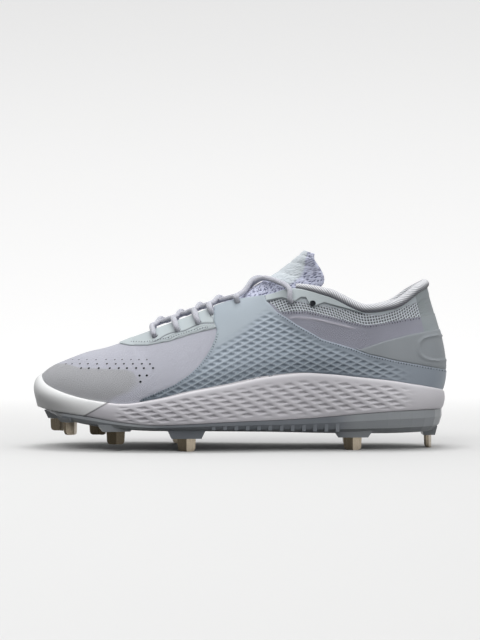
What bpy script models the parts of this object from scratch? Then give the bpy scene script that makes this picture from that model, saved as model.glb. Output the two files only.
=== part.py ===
"""Low-cut metal-spike baseball shoe, left foot, built round one last.

World axes: the toe points to -X, the heel to +X, the outer (lateral) side
to -Y and the inner (medial) side to +Y, +Z up. The origin lies on the
floor, in the middle of the shoe. Units are metres.
"""

import math

import bmesh
import bpy
import numpy as np
from mathutils import Matrix, Vector

# Driving dimensions
LENGTH = 0.3000            # toe bumper to heel counter, over all
BALL_WIDTH = 0.1060        # width of the sole across the ball of the foot
SPIKE_LENGTH = 0.0092      # blade below its boss, where it meets the floor
BOSS_HEIGHT = 0.0054       # boss below the plate
SOLE_HEIGHT = 0.0404       # underside of the plate to the sidewall's highest point
INSTEP_HEIGHT = 0.1002     # underside of the plate to the top corner of the throat
HEEL_HEIGHT = 0.1012       # underside of the plate to the collar edge at the heel
UPPER_WALL = 0.0020        # wall of the upper
SIDEWALL_LIP = 0.0017      # upper edge of the midsole's sidewall
TOE_BULGE = 0.0026         # how far the bumper swells more than the sidewall, at its upper part
TOE_TUCK = 0.0004          # how far its lower edge draws in
SIDEWALL_BULGE = 0.0012    # how far the sidewall swells between its edges
SOLE_REACH = 0.0030        # midsole's lower edge outside the last's foot
SEAM_FOOT = -0.1532        # where the bumper's seam, if drawn on, meets the floor
SEAM_SLOPE = 1.77          # how far the seam runs back for each unit of height
SEAM_LOW = -0.02           # lower and upper end of the block that cuts along it
SEAM_HIGH = 0.12
PLATE_INSET = 0.0003       # plate edge inside the midsole's lower edge
PLATE_SETBACK = 0.0050     # how much further in it lies at the toe
PLATE_DROP = 0.0011        # how much lower, as the sole rises towards its edge there
PLATE_TAPER = 0.0060       # how far the plate's side runs in towards its underside
INSOLE_THICKNESS = 0.0040
ROLL_RADIUS = 0.0034       # padded roll round the collar
OVERLAY_THICKNESS = 0.0010 # panels laid over the upper
SPIKE_WIDTH = 0.0130
SPIKE_PLATE = 0.0020       # thickness of a spike's sheet metal
SPIKE_BEND = 0.0026        # how far a spike's fold stands out
LACE_RADIUS = 0.0019
EYELET_RADIUS = 0.0024
GAP = 0.0003               # clearance between pieces that touch
PANEL_GAP = 0.0005         # the same under a panel that follows the upper

# Heights that follow from them
TREAD = SPIKE_LENGTH + BOSS_HEIGHT     # underside of the plate above the floor

# The last, one row for each rib from the toe round one side to the heel.
# foot_x, top_x: shares of LENGTH from the middle of the shoe.
# outer, inner, ridge, open: shares of BALL_WIDTH. outer and inner are the rib's
# foot on either side, ridge is the sideways shift of the centreline, and open is
# half the opening at the rib's top, 0 where both sides join along the ridge.
# top_z: share of INSTEP_HEIGHT, or of HEEL_HEIGHT for the ribs of the collar.
# slope: rise of the ridge for each unit of length.
# foot_lean, top_lean: degrees from upright, outwards at the foot, inwards above.
# foot_pull, top_pull: how fully the rib swells, as shares of its chord.
RIB = ("foot_x", "outer", "inner", "ridge", "top_x", "open", "top_z",
       "slope", "foot_lean", "foot_pull", "top_lean", "top_pull")
VAMP_RIBS = [
    (-0.4835, 0.045, 0.045, 0.045, -0.428, 0.000, 0.478, 0.36, 27, 0.44, 90, 0.50),
    (-0.4580, 0.140, 0.240, 0.040, -0.399, 0.000, 0.513, 0.40, 22, 0.42, 90, 0.50),
    (-0.4080, 0.285, 0.345, 0.034, -0.364, 0.000, 0.549, 0.32, 18, 0.40, 90, 0.48),
    (-0.3450, 0.372, 0.402, 0.028, -0.327, 0.000, 0.574, 0.24, 14, 0.39, 90, 0.46),
    (-0.2700, 0.424, 0.425, 0.024, -0.288, 0.000, 0.611, 0.36, 11, 0.38, 90, 0.45),
    (-0.2030, 0.448, 0.420, 0.022, -0.262, 0.000, 0.642, 0.38, 9, 0.38, 90, 0.43),
]
THROAT_RIBS = [
    (-0.1680, 0.455, 0.410, 0.022, -0.250, 0.085, 0.654, 0.38, 8, 0.38, 76, 0.40),
    (-0.1180, 0.456, 0.392, 0.022, -0.205, 0.140, 0.704, 0.38, 7, 0.38, 64, 0.36),
    (-0.0270, 0.428, 0.352, 0.020, -0.115, 0.165, 0.806, 0.36, 6, 0.38, 56, 0.34),
    (0.0730, 0.380, 0.312, 0.016, -0.015, 0.180, 0.916, 0.30, 5, 0.38, 48, 0.33),
    (0.1600, 0.350, 0.304, 0.010, 0.068, 0.205, 0.955, 0.15, 5, 0.38, 38, 0.31),
    (0.2200, 0.340, 0.306, 0.006, 0.127, 0.262, 1.000, 0.00, 6, 0.38, 24, 0.30),
]
COLLAR_RIBS = [
    (0.2820, 0.336, 0.310, 0.004, 0.208, 0.302, 0.932, 0.00, 7, 0.38, 12, 0.30),
    (0.3480, 0.324, 0.310, 0.002, 0.300, 0.308, 0.818, 0.00, 9, 0.38, 9, 0.30),
    (0.4050, 0.282, 0.276, 0.001, 0.366, 0.272, 0.846, 0.00, 13, 0.36, 8, 0.31),
    (0.4580, 0.184, 0.184, 0.000, 0.424, 0.192, 0.952, 0.00, 22, 0.35, 11, 0.32),
    (0.4810, 0.000, 0.000, 0.000, 0.454, 0.000, 1.000, 0.00, 27, 0.35, 13, 0.33),
]
HEEL_RIB = len(VAMP_RIBS) + len(THROAT_RIBS) + len(COLLAR_RIBS) - 1
RIDGE_END = len(VAMP_RIBS) - 1     # the last rib whose two sides join on top
CENTRELINE = 0.0142                # the heel's centreline beside the shoe's middle,
                                   # share of BALL_WIDTH
TURN = 2 * HEEL_RIB                # once round the shoe, in ribs

# The sole, a row for each rib of the last, in shares of SOLE_HEIGHT above the
# underside of the plate: the plate's underside and top, the footbed, and the
# edge of the sidewall on the outer and the inner side.
SOLE = ("under", "plate", "bed", "outer_edge", "inner_edge")
SOLE_RIBS = [
    (0.300, 0.372, 0.500, 0.955, 0.955),
    (0.235, 0.345, 0.465, 0.800, 0.800),
    (0.150, 0.300, 0.420, 0.645, 0.645),
    (0.075, 0.240, 0.375, 0.530, 0.540),
    (0.020, 0.150, 0.335, 0.470, 0.500),
    (0.000, 0.108, 0.320, 0.535, 0.560),
    (0.000, 0.112, 0.322, 0.585, 0.610),
    (0.000, 0.128, 0.330, 0.675, 0.690),
    (-0.010, 0.160, 0.350, 0.800, 0.800),
    (-0.025, 0.185, 0.385, 0.945, 0.930),
    (-0.045, 0.215, 0.430, 1.000, 1.000),
    (-0.055, 0.250, 0.465, 0.975, 0.985),
    (-0.060, 0.290, 0.500, 0.925, 0.940),
    (-0.060, 0.325, 0.525, 0.870, 0.880),
    (-0.055, 0.345, 0.535, 0.800, 0.805),
    (-0.045, 0.350, 0.535, 0.725, 0.725),
    (-0.035, 0.350, 0.535, 0.665, 0.665),
]

# Places of the nine spikes: shares of LENGTH and of BALL_WIDTH from the middle,
# height of the blade's lower edge above the floor as a share of SPIKE_LENGTH,
# the turn of the blade about the vertical in degrees, and the boss's size as a
# share of the largest boss.
SPIKES = [
    ("spike_toe_inner", -0.444, 0.170, 1.16, -32, 0.68),
    ("spike_toe_outer", -0.398, -0.235, 1.16, 58, 0.68),
    ("spike_front_inner", -0.352, 0.318, 0.70, -14, 0.85),
    ("spike_front_outer", -0.290, -0.352, 0.52, 12, 0.90),
    ("spike_ball_outer", -0.124, -0.372, 0.00, 2, 1.00),
    ("spike_ball_inner", -0.146, 0.334, 0.00, -4, 1.00),
    ("spike_heel_outer", 0.268, -0.250, 0.00, 0, 1.00),
    ("spike_heel_inner", 0.276, 0.232, 0.00, 0, 1.00),
    ("spike_heel_back", 0.457, 0.000, 0.00, 90, 0.70),
]
BOSS_LENGTH = 0.0210
BOSS_WIDTH = 0.0120
BOSS_FLARE = 0.0040        # how much longer a boss is at its root
BOSS_ROOT = 0.0030         # how far a boss runs up into the plate
RIB_COUNT = 12             # upright ribs along each side of the plate
RIBS_START = -0.06         # first and last of them, shares of LENGTH
RIBS_END = 0.23
PLATE_RIB = 0.0026         # width of such a rib

# The tongue, a row from its front end to its top edge. x and z: middle of its
# outer face, shares of LENGTH and INSTEP_HEIGHT. half: half its width, a share of
# BALL_WIDTH. back and drop: how far the side edges lie behind and below the
# middle, shares of LENGTH and INSTEP_HEIGHT. wrap: degrees that half of it wraps.
TONGUE = ("x", "z", "half", "back", "drop", "wrap", "thick")
TONGUE_ROWS = [
    (-0.285, 0.570, 0.150, 0.000, 0.040, 40, 0.0025),
    (-0.205, 0.668, 0.215, 0.000, 0.090, 50, 0.0030),
    (-0.115, 0.795, 0.235, 0.004, 0.115, 55, 0.0040),
    (-0.025, 0.925, 0.232, 0.022, 0.165, 60, 0.0045),
    (0.040, 1.030, 0.226, 0.075, 0.160, 72, 0.0050),
    (0.092, 1.128, 0.232, 0.104, 0.105, 80, 0.0055),
    (0.136, 1.230, 0.222, 0.044, 0.040, 80, 0.0055),
    (0.157, 1.284, 0.200, 0.012, 0.034, 80, 0.0050),
]

# Panels laid over the upper. Each edge is seen square from the side: x, share of
# LENGTH from the middle, and z, share of INSTEP_HEIGHT. Both sides are alike.
WRAP_TOP = [
    (-0.238, 0.204), (-0.194, 0.266), (-0.153, 0.323), (-0.116, 0.397), (-0.091, 0.471),
    (-0.070, 0.559), (-0.058, 0.645), (-0.053, 0.708), (-0.062, 0.775), (-0.062, 0.839),
    (-0.058, 0.880), (0.056, 0.950), (0.064, 0.911), (0.088, 0.832), (0.108, 0.796),
    (0.137, 0.738), (0.176, 0.674), (0.264, 0.579), (0.301, 0.537), (0.372, 0.488),
    (0.440, 0.455), (0.497, 0.430),
]
EYESTAY_LOW = [
    (-0.290, 0.612), (-0.272, 0.585), (-0.258, 0.586), (-0.215, 0.592), (-0.164, 0.634),
    (-0.113, 0.692), (-0.062, 0.730),
]
STAY_LOW = [
    (0.068, 0.912), (0.115, 0.896), (0.164, 0.868), (0.210, 0.874), (0.250, 0.850),
]
COUNTER_TOP = [
    (0.283, 0.566), (0.340, 0.625), (0.400, 0.670), (0.440, 0.692), (0.480, 0.706),
]

# Lace holes seen square from the side, in the same shares, from the toe back.
# The laces run through all but the last.
EYELETS = [
    (-0.201, 0.650), (-0.146, 0.698), (-0.099, 0.748), (-0.063, 0.824),
    (-0.004, 0.897), (0.121, 0.905), (0.171, 0.893),
]

# Mesh fineness
RIB_STEPS = 2              # ribs of the mesh for each row of the last
WALL_STEPS = 7             # steps up a rib
LACE_SIDES = 5
EYELET_SIDES = 6
ROLL_SIDES = 10
TONGUE_COLUMNS = 11


def clear_scene():
    for piece in list(bpy.data.objects):
        bpy.data.objects.remove(piece, do_unlink=True)


def material(name, colour, roughness, metallic=0.0):
    made = bpy.data.materials.new(name)
    made.use_nodes = True
    shader = made.node_tree.nodes["Principled BSDF"]
    shader.inputs["Base Color"].default_value = (*colour, 1.0)
    shader.inputs["Roughness"].default_value = roughness
    shader.inputs["Metallic"].default_value = metallic
    return made


def periodic_track(values, at):
    """Smooth curve without overshoot through values spaced one apart on a ring."""
    step = np.roll(values, -1) - values
    before = np.roll(step, 1)
    together = before * step > 0
    total = np.where(together, before + step, 1.0)
    tangent = np.where(together, 2.0 * before * step / total, 0.0)
    low = np.floor(at).astype(int)
    share = at - low
    start = low % len(values)
    end = (start + 1) % len(values)
    rise = share * share * (3.0 - 2.0 * share)
    return (values[start] * (1.0 - rise) + values[end] * rise
            + tangent[start] * share * (1.0 - share) ** 2
            - tangent[end] * share * share * (1.0 - share))


def ring_table():
    """Every column of the last and the sole as a ring: toe, outer side, heel,
    inner side, and back to the toe, in metres and radians."""
    ribs = []
    for rows, height in ((VAMP_RIBS, INSTEP_HEIGHT), (THROAT_RIBS, INSTEP_HEIGHT),
                         (COLLAR_RIBS, HEEL_HEIGHT)):
        for row in rows:
            rib = dict(zip(RIB, row))
            rib["top_z"] *= height
            ribs.append(rib)
    for rib, row in zip(ribs, SOLE_RIBS):
        rib.update(zip(SOLE, row))
    ring = {name: np.zeros(TURN) for name in
            ("foot_x", "foot_y", "top_x", "ridge", "open", "top_z", "slope", "foot_lean",
             "foot_pull", "top_lean", "top_pull", "under", "plate", "bed", "edge")}
    for place in range(TURN):
        outer = place <= HEEL_RIB
        rib = ribs[place if outer else TURN - place]
        side = -1.0 if outer else 1.0
        foot = -rib["outer"] if outer else rib["inner"]
        if place == 0:
            foot = rib["inner"]
        ring["foot_x"][place] = rib["foot_x"] * LENGTH
        ring["foot_y"][place] = foot * BALL_WIDTH
        ring["top_x"][place] = rib["top_x"] * LENGTH
        ring["ridge"][place] = rib["ridge"] * BALL_WIDTH
        ring["open"][place] = side * rib["open"] * BALL_WIDTH
        ring["top_z"][place] = TREAD + rib["top_z"]
        for name in ("slope", "foot_pull", "top_pull"):
            ring[name][place] = rib[name]
        for name in ("foot_lean", "top_lean"):
            ring[name][place] = math.radians(rib[name])
        for name in ("under", "plate", "bed"):
            ring[name][place] = TREAD + rib[name] * SOLE_HEIGHT
        edge = rib["outer_edge"] if outer else rib["inner_edge"]
        ring["edge"][place] = TREAD + edge * SOLE_HEIGHT
    return ring


RING = ring_table()


def track(name, at):
    return periodic_track(RING[name], at)


def outward(at):
    """Unit plan vector square to the last's foot, pointing out."""
    small = 0.05
    along_x = track("foot_x", at + small) - track("foot_x", at - small)
    along_y = track("foot_y", at + small) - track("foot_y", at - small)
    size = np.hypot(along_x, along_y)
    return along_y / size, -along_x / size


def last_place(at, up):
    """Point of the last's surface: at in ribs round the shoe, up from 0 to 1."""
    out_x, out_y = outward(at)
    foot = np.stack([track("foot_x", at), track("foot_y", at), track("bed", at) + GAP], -1)
    top_y = track("ridge", at) + track("open", at)
    top = np.stack([track("top_x", at), top_y, track("top_z", at)], -1)
    chord = np.linalg.norm(top - foot, axis=-1)
    lean = track("foot_lean", at)
    pull = track("foot_pull", at) * chord
    swell = foot + np.stack([np.sin(lean) * out_x * pull, np.sin(lean) * out_y * pull,
                             np.cos(lean) * pull], -1)
    lean = track("top_lean", at)
    pull = track("top_pull", at) * chord
    tilt = track("slope", at) * out_x * np.sin(lean)
    shoulder = top + np.stack([np.sin(lean) * out_x * pull, np.sin(lean) * out_y * pull,
                               (tilt - np.cos(lean)) * pull], -1)
    up = np.asarray(up)[..., None]
    down = 1.0 - up
    return (foot * down ** 3 + 3.0 * swell * up * down ** 2
            + 3.0 * shoulder * up * up * down + top * up ** 3)


def last_surface(at, up, offset=0.0):
    """last_place moved square to the surface, out by offset."""
    at, up = np.broadcast_arrays(np.asarray(at, float), np.asarray(up, float))
    small = 0.02
    place = last_place(at, up)
    round_it = last_place(at + small, up) - last_place(at - small, up)
    rise = last_place(at, np.minimum(up + small, 1.0)) - last_place(at, up - small)
    square = np.cross(round_it, rise)
    on_ridge = (ring_distance(at) <= RIDGE_END) & (up >= 1.0)
    slope = track("slope", at)
    crest = np.stack([-slope, np.zeros_like(slope), np.ones_like(slope)], -1)
    square = np.where(on_ridge[..., None], crest, square)
    square = square / np.linalg.norm(square, axis=-1, keepdims=True)
    return place + offset * square


def ring_distance(at):
    """Ribs between a place on the ring and the toe, the shorter way round."""
    return np.abs((np.asarray(at) + HEEL_RIB) % TURN - HEEL_RIB)


def mesh_object(name, points, faces, surface):
    """One closed body from points and faces, normals out, smooth where round."""
    mesh = bpy.data.meshes.new(name)
    mesh.from_pydata([tuple(point) for point in points], [], faces)
    shape = bmesh.new()
    shape.from_mesh(mesh)
    bmesh.ops.remove_doubles(shape, verts=shape.verts, dist=1e-7)
    bmesh.ops.recalc_face_normals(shape, faces=shape.faces)
    shape.to_mesh(mesh)
    shape.free()
    mesh.shade_smooth()
    mesh.set_sharp_from_angle(angle=math.radians(40))
    if surface:
        mesh.materials.append(surface)
    piece = bpy.data.objects.new(name, mesh)
    bpy.context.collection.objects.link(piece)
    return piece


def boolean(piece, other, operation):
    """Applies an exact Boolean with another object, which is then removed."""
    modifier = piece.modifiers.new(operation.title(), "BOOLEAN")
    modifier.operation = operation
    modifier.solver = "EXACT"
    modifier.object = other
    result = bpy.data.meshes.new_from_object(
        piece.evaluated_get(bpy.context.evaluated_depsgraph_get()))
    piece.modifiers.clear()
    piece.data = result
    bpy.data.objects.remove(other, do_unlink=True)


def grid_faces(columns, rows, first, closed=False):
    """Quads of a grid whose points are stored column after column."""
    faces = []
    for column in range(columns if closed else columns - 1):
        here = first + column * rows
        there = first + (column + 1) % columns * rows
        for row in range(rows - 1):
            faces.append((here + row, there + row, there + row + 1, here + row + 1))
    return faces


def cap_faces(loop, count):
    """Faces across a ring of points, joining each rib to the one opposite it."""
    half = count // 2
    faces = [(loop[0], loop[1], loop[count - 1]),
             (loop[half], loop[half + 1], loop[half - 1])]
    for rib in range(1, half - 1):
        faces.append((loop[rib], loop[rib + 1], loop[count - rib - 1], loop[count - rib]))
    return faces


def ring_stations():
    return np.arange(TURN * RIB_STEPS) / RIB_STEPS


def wall_levels():
    """Height shares of the upper's own mesh. What lies against the upper takes
    the same ones, so that its facets run parallel and the gap stays even."""
    return np.linspace(0.0, 1.0, WALL_STEPS + 1)


def stacked_rings(name, rings, surface):
    """A closed body whose skin runs through rings of points, capped at both ends."""
    count = len(rings[0])
    points = np.concatenate(rings)
    faces = []
    for level in range(len(rings) - 1):
        for place in range(count):
            after = (place + 1) % count
            faces.append((level * count + place, level * count + after,
                          (level + 1) * count + after, (level + 1) * count + place))
    faces += cap_faces(list(range(count)), count)
    faces += cap_faces(list(range((len(rings) - 1) * count, len(rings) * count)), count)
    return mesh_object(name, points, faces, surface)


def wall(name, outer, inner, faces, surface):
    """A closed wall between two skins of like points. Points that coincide, as
    along the ridge, become one, and every open edge gets an edge face."""
    keys = {}
    merged = []
    kept = []
    for place, point in enumerate(outer):
        key = tuple(round(value, 7) for value in point)
        if key not in keys:
            keys[key] = len(kept)
            kept.append(place)
        merged.append(keys[key])
    skin = []
    for face in faces:
        corners = []
        for corner in face:
            if merged[corner] not in corners:
                corners.append(merged[corner])
        if len(corners) > 2:
            skin.append(tuple(corners))
    uses = {}
    for face in skin:
        for edge in zip(face, face[1:] + face[:1]):
            uses.setdefault(frozenset(edge), []).append(edge)
    count = len(kept)
    solid = skin + [tuple(count + corner for corner in face) for face in skin]
    for edges in uses.values():
        if len(edges) == 1:
            start, end = edges[0]
            solid.append((start, end, count + end, count + start))
    points = np.concatenate([outer[kept], inner[kept]])
    return mesh_object(name, points, solid, surface)


def build_upper(surface):
    at, up = np.meshgrid(ring_stations(), wall_levels(), indexing="ij")
    outer = last_surface(at, up)
    inner = last_surface(at, up, -UPPER_WALL)
    inner[:, 0, 2] = outer[:, 0, 2]
    faces = grid_faces(*at.shape, 0, closed=True)
    upper = wall("upper", outer.reshape(-1, 3), inner.reshape(-1, 3), faces, surface)
    pierce(upper)
    return upper


def find_on_last(x, z, side):
    """Place on the ring and height share of the surface point seen at x, z from
    one side: -1 the outer side, 1 the inner side."""
    at, up = np.meshgrid(np.arange(0.0, HEEL_RIB + 0.01, 0.05), np.linspace(0.0, 1.0, 101),
                         indexing="ij")
    place = last_place(at if side < 0 else TURN - at, up)
    miss = (place[..., 0] - x) ** 2 + (place[..., 2] - z) ** 2
    best = np.unravel_index(np.argmin(miss), miss.shape)
    return float(at[best]), float(up[best])


def side_edge(outline, side):
    """An outline seen from the side as places and height shares on the last."""
    found = [find_on_last(x * LENGTH, TREAD + z * INSTEP_HEIGHT, side) for x, z in outline]
    found.sort()
    return np.array(found).T


def panel_grid(at, low, high):
    """Both skins of a panel over the upper between two height shares."""
    up = np.clip(wall_levels(), low[:, None], high[:, None])
    at = np.broadcast_to(at[:, None], up.shape)
    over = last_surface(at, up, PANEL_GAP + OVERLAY_THICKNESS).reshape(-1, 3)
    under = last_surface(at, up, PANEL_GAP).reshape(-1, 3)
    return over, under


def panel(name, at, low, high, surface):
    """A panel over the upper between two height shares at each place."""
    over, under = panel_grid(at, low, high)
    return wall(name, over, under, grid_faces(len(at), WALL_STEPS + 1, 0), surface)


def places_between(start, end, extra=()):
    """The mesh's own places on the ring between two others, ends included, with
    extra ones where an edge turns."""
    inner = np.concatenate([ring_stations(), extra])
    inner = np.unique(np.round(inner, 3))
    inner = inner[(inner > start + 0.04) & (inner < end - 0.04)]
    apart = np.diff(inner, prepend=start) > 0.04
    return np.concatenate([[start], inner[apart], [end]])


def wrap_top(at):
    """Height share of the midfoot wrap's upper edge, nearest distance to the toe."""
    near = ring_distance(at)
    shares = []
    for side in (-1, 1):
        places, heights = side_edge(WRAP_TOP, side)
        shares.append(np.interp(near, places, heights))
    return np.where(np.asarray(at) <= HEEL_RIB, shares[0], shares[1])


def above_sidewall(at):
    """Height share just above the sidewall's edge."""
    return edge_height_share(at) + 0.008


def build_midfoot_wrap(surface):
    start = 4.6
    steep = np.concatenate([np.arange(7.5, 8.8, 0.07), np.arange(9.4, 10.8, 0.17)])
    at = places_between(start, TURN - start, np.concatenate([steep, TURN - steep]))
    low = above_sidewall(at)
    high = np.minimum(np.maximum(wrap_top(at), low + 0.012), 1.0)
    wrap = panel("midfoot_wrap", at, low, high, surface)
    pierce(wrap)
    return wrap


def build_heel_counter(surface):
    start = 12.4
    at = places_between(start, TURN - start)
    near = ring_distance(at)
    places, heights = side_edge(COUNTER_TOP, -1)
    low = wrap_top(at) + 0.010
    high = np.maximum(np.interp(near, places, heights), low + 0.012)
    return panel("heel_counter", at, low, high, surface)


def build_eyestay(surface):
    """Lace reinforcement round the front of the throat, in one piece."""
    skins, faces = [], []
    for side in (-1, 1):
        near = places_between(4.0, 8.3, np.arange(7.6, 8.3, 0.08))
        places, heights = side_edge(EYESTAY_LOW, side)
        at = near if side < 0 else TURN - near
        low = np.interp(near, places, heights)
        low = np.where(near > 7.5, np.maximum(low, wrap_top(at) + 0.012), low)
        skins.append(panel_grid(at, np.minimum(low, wall_levels()[-2]), np.ones_like(at)))
        faces += grid_faces(len(at), WALL_STEPS + 1, len(faces) and skins[0][0].shape[0])
    over = np.concatenate([skin[0] for skin in skins])
    under = np.concatenate([skin[1] for skin in skins])
    eyestay = wall("eyestay", over, under, faces, surface)
    pierce(eyestay)
    return eyestay


def build_collar_stays(surface):
    """Lace reinforcement behind the wrap, on each side of the throat."""
    for name, side in (("collar_stay_outer", -1), ("collar_stay_inner", 1)):
        places, heights = side_edge(STAY_LOW, side)
        near = places_between(places[0] + 0.10, places[-1], places)
        at = near if side < 0 else TURN - near
        low = np.maximum(np.interp(near, places, heights), wrap_top(at) + 0.012)
        stay = panel(name, at, np.minimum(low, 0.97), np.full_like(at, 0.995), surface)
        pierce(stay)


def eyelet(x, z, side):
    """Point on the last, and the direction square to it, of one lace hole."""
    near, up = find_on_last(x * LENGTH, TREAD + z * INSTEP_HEIGHT, side)
    at = near if side < 0 else TURN - near
    point = last_surface(at, up)
    square = last_surface(at, up, 1.0) - point
    return Vector(point), Vector(square)


def pierce(piece):
    """Cuts the lace holes that fall on a piece."""
    low = [min(corner[axis] for corner in piece.bound_box) for axis in range(3)]
    high = [max(corner[axis] for corner in piece.bound_box) for axis in range(3)]
    for x, z in EYELETS:
        for side in (-1, 1):
            point, square = eyelet(x, z, side)
            if not all(low[axis] < point[axis] < high[axis] for axis in range(3)):
                continue
            reach = 3.0 * UPPER_WALL
            ends = [point - square * reach, point + square * reach]
            radii = [EYELET_RADIUS] * 2
            cutter = sweep("lace_hole", ends, radii, piece.data.materials[0], EYELET_SIDES)
            boolean(piece, cutter, "DIFFERENCE")


def edge_height_share(at):
    """How far up each rib the sidewall's edge lies."""
    up = np.linspace(0.0, 0.9, 91)
    shares = []
    for place, height in zip(at, track("edge", at)):
        rib = last_place(np.full_like(up, place), up)
        shares.append(np.interp(height, rib[:, 2], up))
    return np.array(shares)


def sole_body(name, surface):
    """Midsole and toe bumper in one: footbed, sidewall and underside."""
    at = ring_stations()
    top = edge_height_share(at)
    out = np.stack([*outward(at), np.zeros_like(at)], -1)
    foot = last_place(at, np.zeros_like(at))
    rings = []
    for level in wall_levels():
        ring = last_surface(at, np.minimum(level, top), GAP)
        if level == 0.0:
            ring[:, 2] = track("bed", at)
        rings.append(ring)
        if level > top.max():
            break
    edge = rings[-1]
    toe = toe_share(at)
    reach = np.sum((edge - foot) * out, axis=-1) + SIDEWALL_LIP
    base = track("plate", at)
    for share in (0.0, 0.22, 0.5, 0.8, 1.0):
        wide = reach * (1.0 - share) + sole_reach(at) * share
        wide = wide + SIDEWALL_BULGE * 4.0 * share * (1.0 - share)
        wide = wide + TOE_BULGE * toe * 6.75 * share * (1.0 - share) ** 2
        ring = foot + out * wide[:, None]
        ring[:, 2] = edge[:, 2] * (1.0 - share) + base * share
        rings.append(ring)
    return stacked_rings(name, rings, surface)


def toe_share(at):
    """1 at the toe, easing to 0 where the bumper ends on either side."""
    share = np.clip(1.0 - (ring_distance(at) - 0.8) / 2.4, 0.0, 1.0)
    return share * share * (3.0 - 2.0 * share)


def sole_reach(at):
    """How far the sole's lower edge stands out from the last's foot."""
    return SOLE_REACH - TOE_TUCK * toe_share(at)


def seam_box(shift):
    """Block that covers the toe as far back as the bumper's slanted seam."""
    corners = []
    for z in (SEAM_LOW, SEAM_HIGH):
        x = SEAM_FOOT + SEAM_SLOPE * z + shift
        for y in (-BALL_WIDTH, BALL_WIDTH):
            corners += [(-LENGTH, y, z), (x, y, z)]
    faces = [(0, 1, 3, 2), (4, 5, 7, 6), (0, 1, 5, 4), (2, 3, 7, 6), (0, 2, 6, 4), (1, 3, 7, 5)]
    return mesh_object("seam", corners, faces, None)


def build_sole_body(foam, rubber):
    """The midsole, and the toe bumper in front of its slanted seam."""
    boolean(sole_body("midsole", foam), seam_box(GAP), "DIFFERENCE")
    boolean(sole_body("toe_bumper", rubber), seam_box(0.0), "INTERSECT")


def build_insole(surface):
    at = ring_stations()
    out = np.stack([*outward(at), np.zeros_like(at)], -1)
    foot = last_place(at, np.zeros_like(at))
    rings = []
    for inset, rise in ((0.0006, 0.0), (0.0004, 0.5), (0.0014, 1.0)):
        ring = foot - out * (UPPER_WALL + GAP + inset)
        ring[:, 2] += INSOLE_THICKNESS * rise
        rings.append(ring)
    return stacked_rings("insole", rings, surface)


def build_plate(surface):
    at = ring_stations()
    out = np.stack([*outward(at), np.zeros_like(at)], -1)
    foot = last_place(at, np.zeros_like(at))
    toe = toe_share(at) ** 3
    top = track("plate", at) - GAP - PLATE_DROP * toe
    under = track("under", at)
    rings = []
    edge = sole_reach(at) - PLATE_INSET - PLATE_SETBACK * toe
    for inset, share in ((0.0, 0.0), (0.0, 0.35), (0.30, 0.75), (1.0, 1.0)):
        ring = foot + out * (edge - PLATE_TAPER * inset)[:, None]
        ring[:, 2] = top * (1.0 - share) + under * share
        rings.append(ring)
    plate = stacked_rings("outsole_plate", rings, surface)
    for _, x, y, lift, turn, size in SPIKES:
        boolean(plate, spike_boss(x, y, lift, turn, size, surface), "UNION")
    boolean(plate, plate_ribs(surface), "UNION")
    return plate


def block(low, high, first):
    """Corners and faces of an upright block between two corners."""
    corners = [(x, y, z) for x in (low[0], high[0]) for y in (low[1], high[1])
               for z in (low[2], high[2])]
    faces = [(0, 1, 3, 2), (4, 5, 7, 6), (0, 1, 5, 4), (2, 3, 7, 6), (0, 2, 6, 4), (1, 3, 7, 5)]
    return corners, [tuple(first + corner for corner in face) for face in faces]


def plate_ribs(surface):
    """Upright ribs under the plate's sloping sides, between ball and heel."""
    near = np.linspace(0.0, HEEL_RIB, 8 * HEEL_RIB)
    corners, faces = [], []
    for side in (-1, 1):
        at = near if side < 0 else TURN - near
        for x in np.linspace(RIBS_START * LENGTH, RIBS_END * LENGTH, RIB_COUNT):
            place = np.interp(x, track("foot_x", at), at)
            edge = abs(track("foot_y", place)) + SOLE_REACH - PLATE_INSET - GAP
            high = track("plate", place) - PLATE_RIB / 2
            low = track("under", place) + PLATE_RIB / 2
            ends = sorted((side * edge, side * (edge - PLATE_TAPER)))
            added, skin = block((x - PLATE_RIB / 2, ends[0], low), (x + PLATE_RIB / 2, ends[1], high),
                                len(corners))
            corners += added
            faces += skin
    return mesh_object("plate_ribs", corners, faces, surface)


def plate_under(x):
    """Height of the plate's underside at a place along the shoe."""
    at = np.linspace(0.0, HEEL_RIB, 4 * HEEL_RIB)
    return float(np.interp(x, track("foot_x", at), track("under", at)))


def spike_boss(x, y, lift, turn, size, surface):
    """Tapered pad under the plate, which carries a spike."""
    low = SPIKE_LENGTH * (1.0 + lift)
    high = plate_under(x * LENGTH) + BOSS_ROOT
    points = []
    for height, grow in ((low, 0.0), (high, BOSS_FLARE)):
        half_x = (BOSS_LENGTH / 2 + grow) * size
        half_y = (BOSS_WIDTH / 2 + grow / 2) * size
        for side_x, side_y in ((-1, -1), (1, -1), (1, 1), (-1, 1)):
            points.append((side_x * half_x, side_y * half_y, height))
    faces = [(0, 1, 2, 3), (4, 5, 6, 7), (0, 1, 5, 4), (1, 2, 6, 5), (2, 3, 7, 6), (3, 0, 4, 7)]
    turned = Matrix.Translation((x * LENGTH, y * BALL_WIDTH, 0.0))
    turned = turned @ Matrix.Rotation(math.radians(turn), 4, "Z")
    points = [turned @ Vector(point) for point in points]
    return mesh_object("boss", points, faces, surface)


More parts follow.
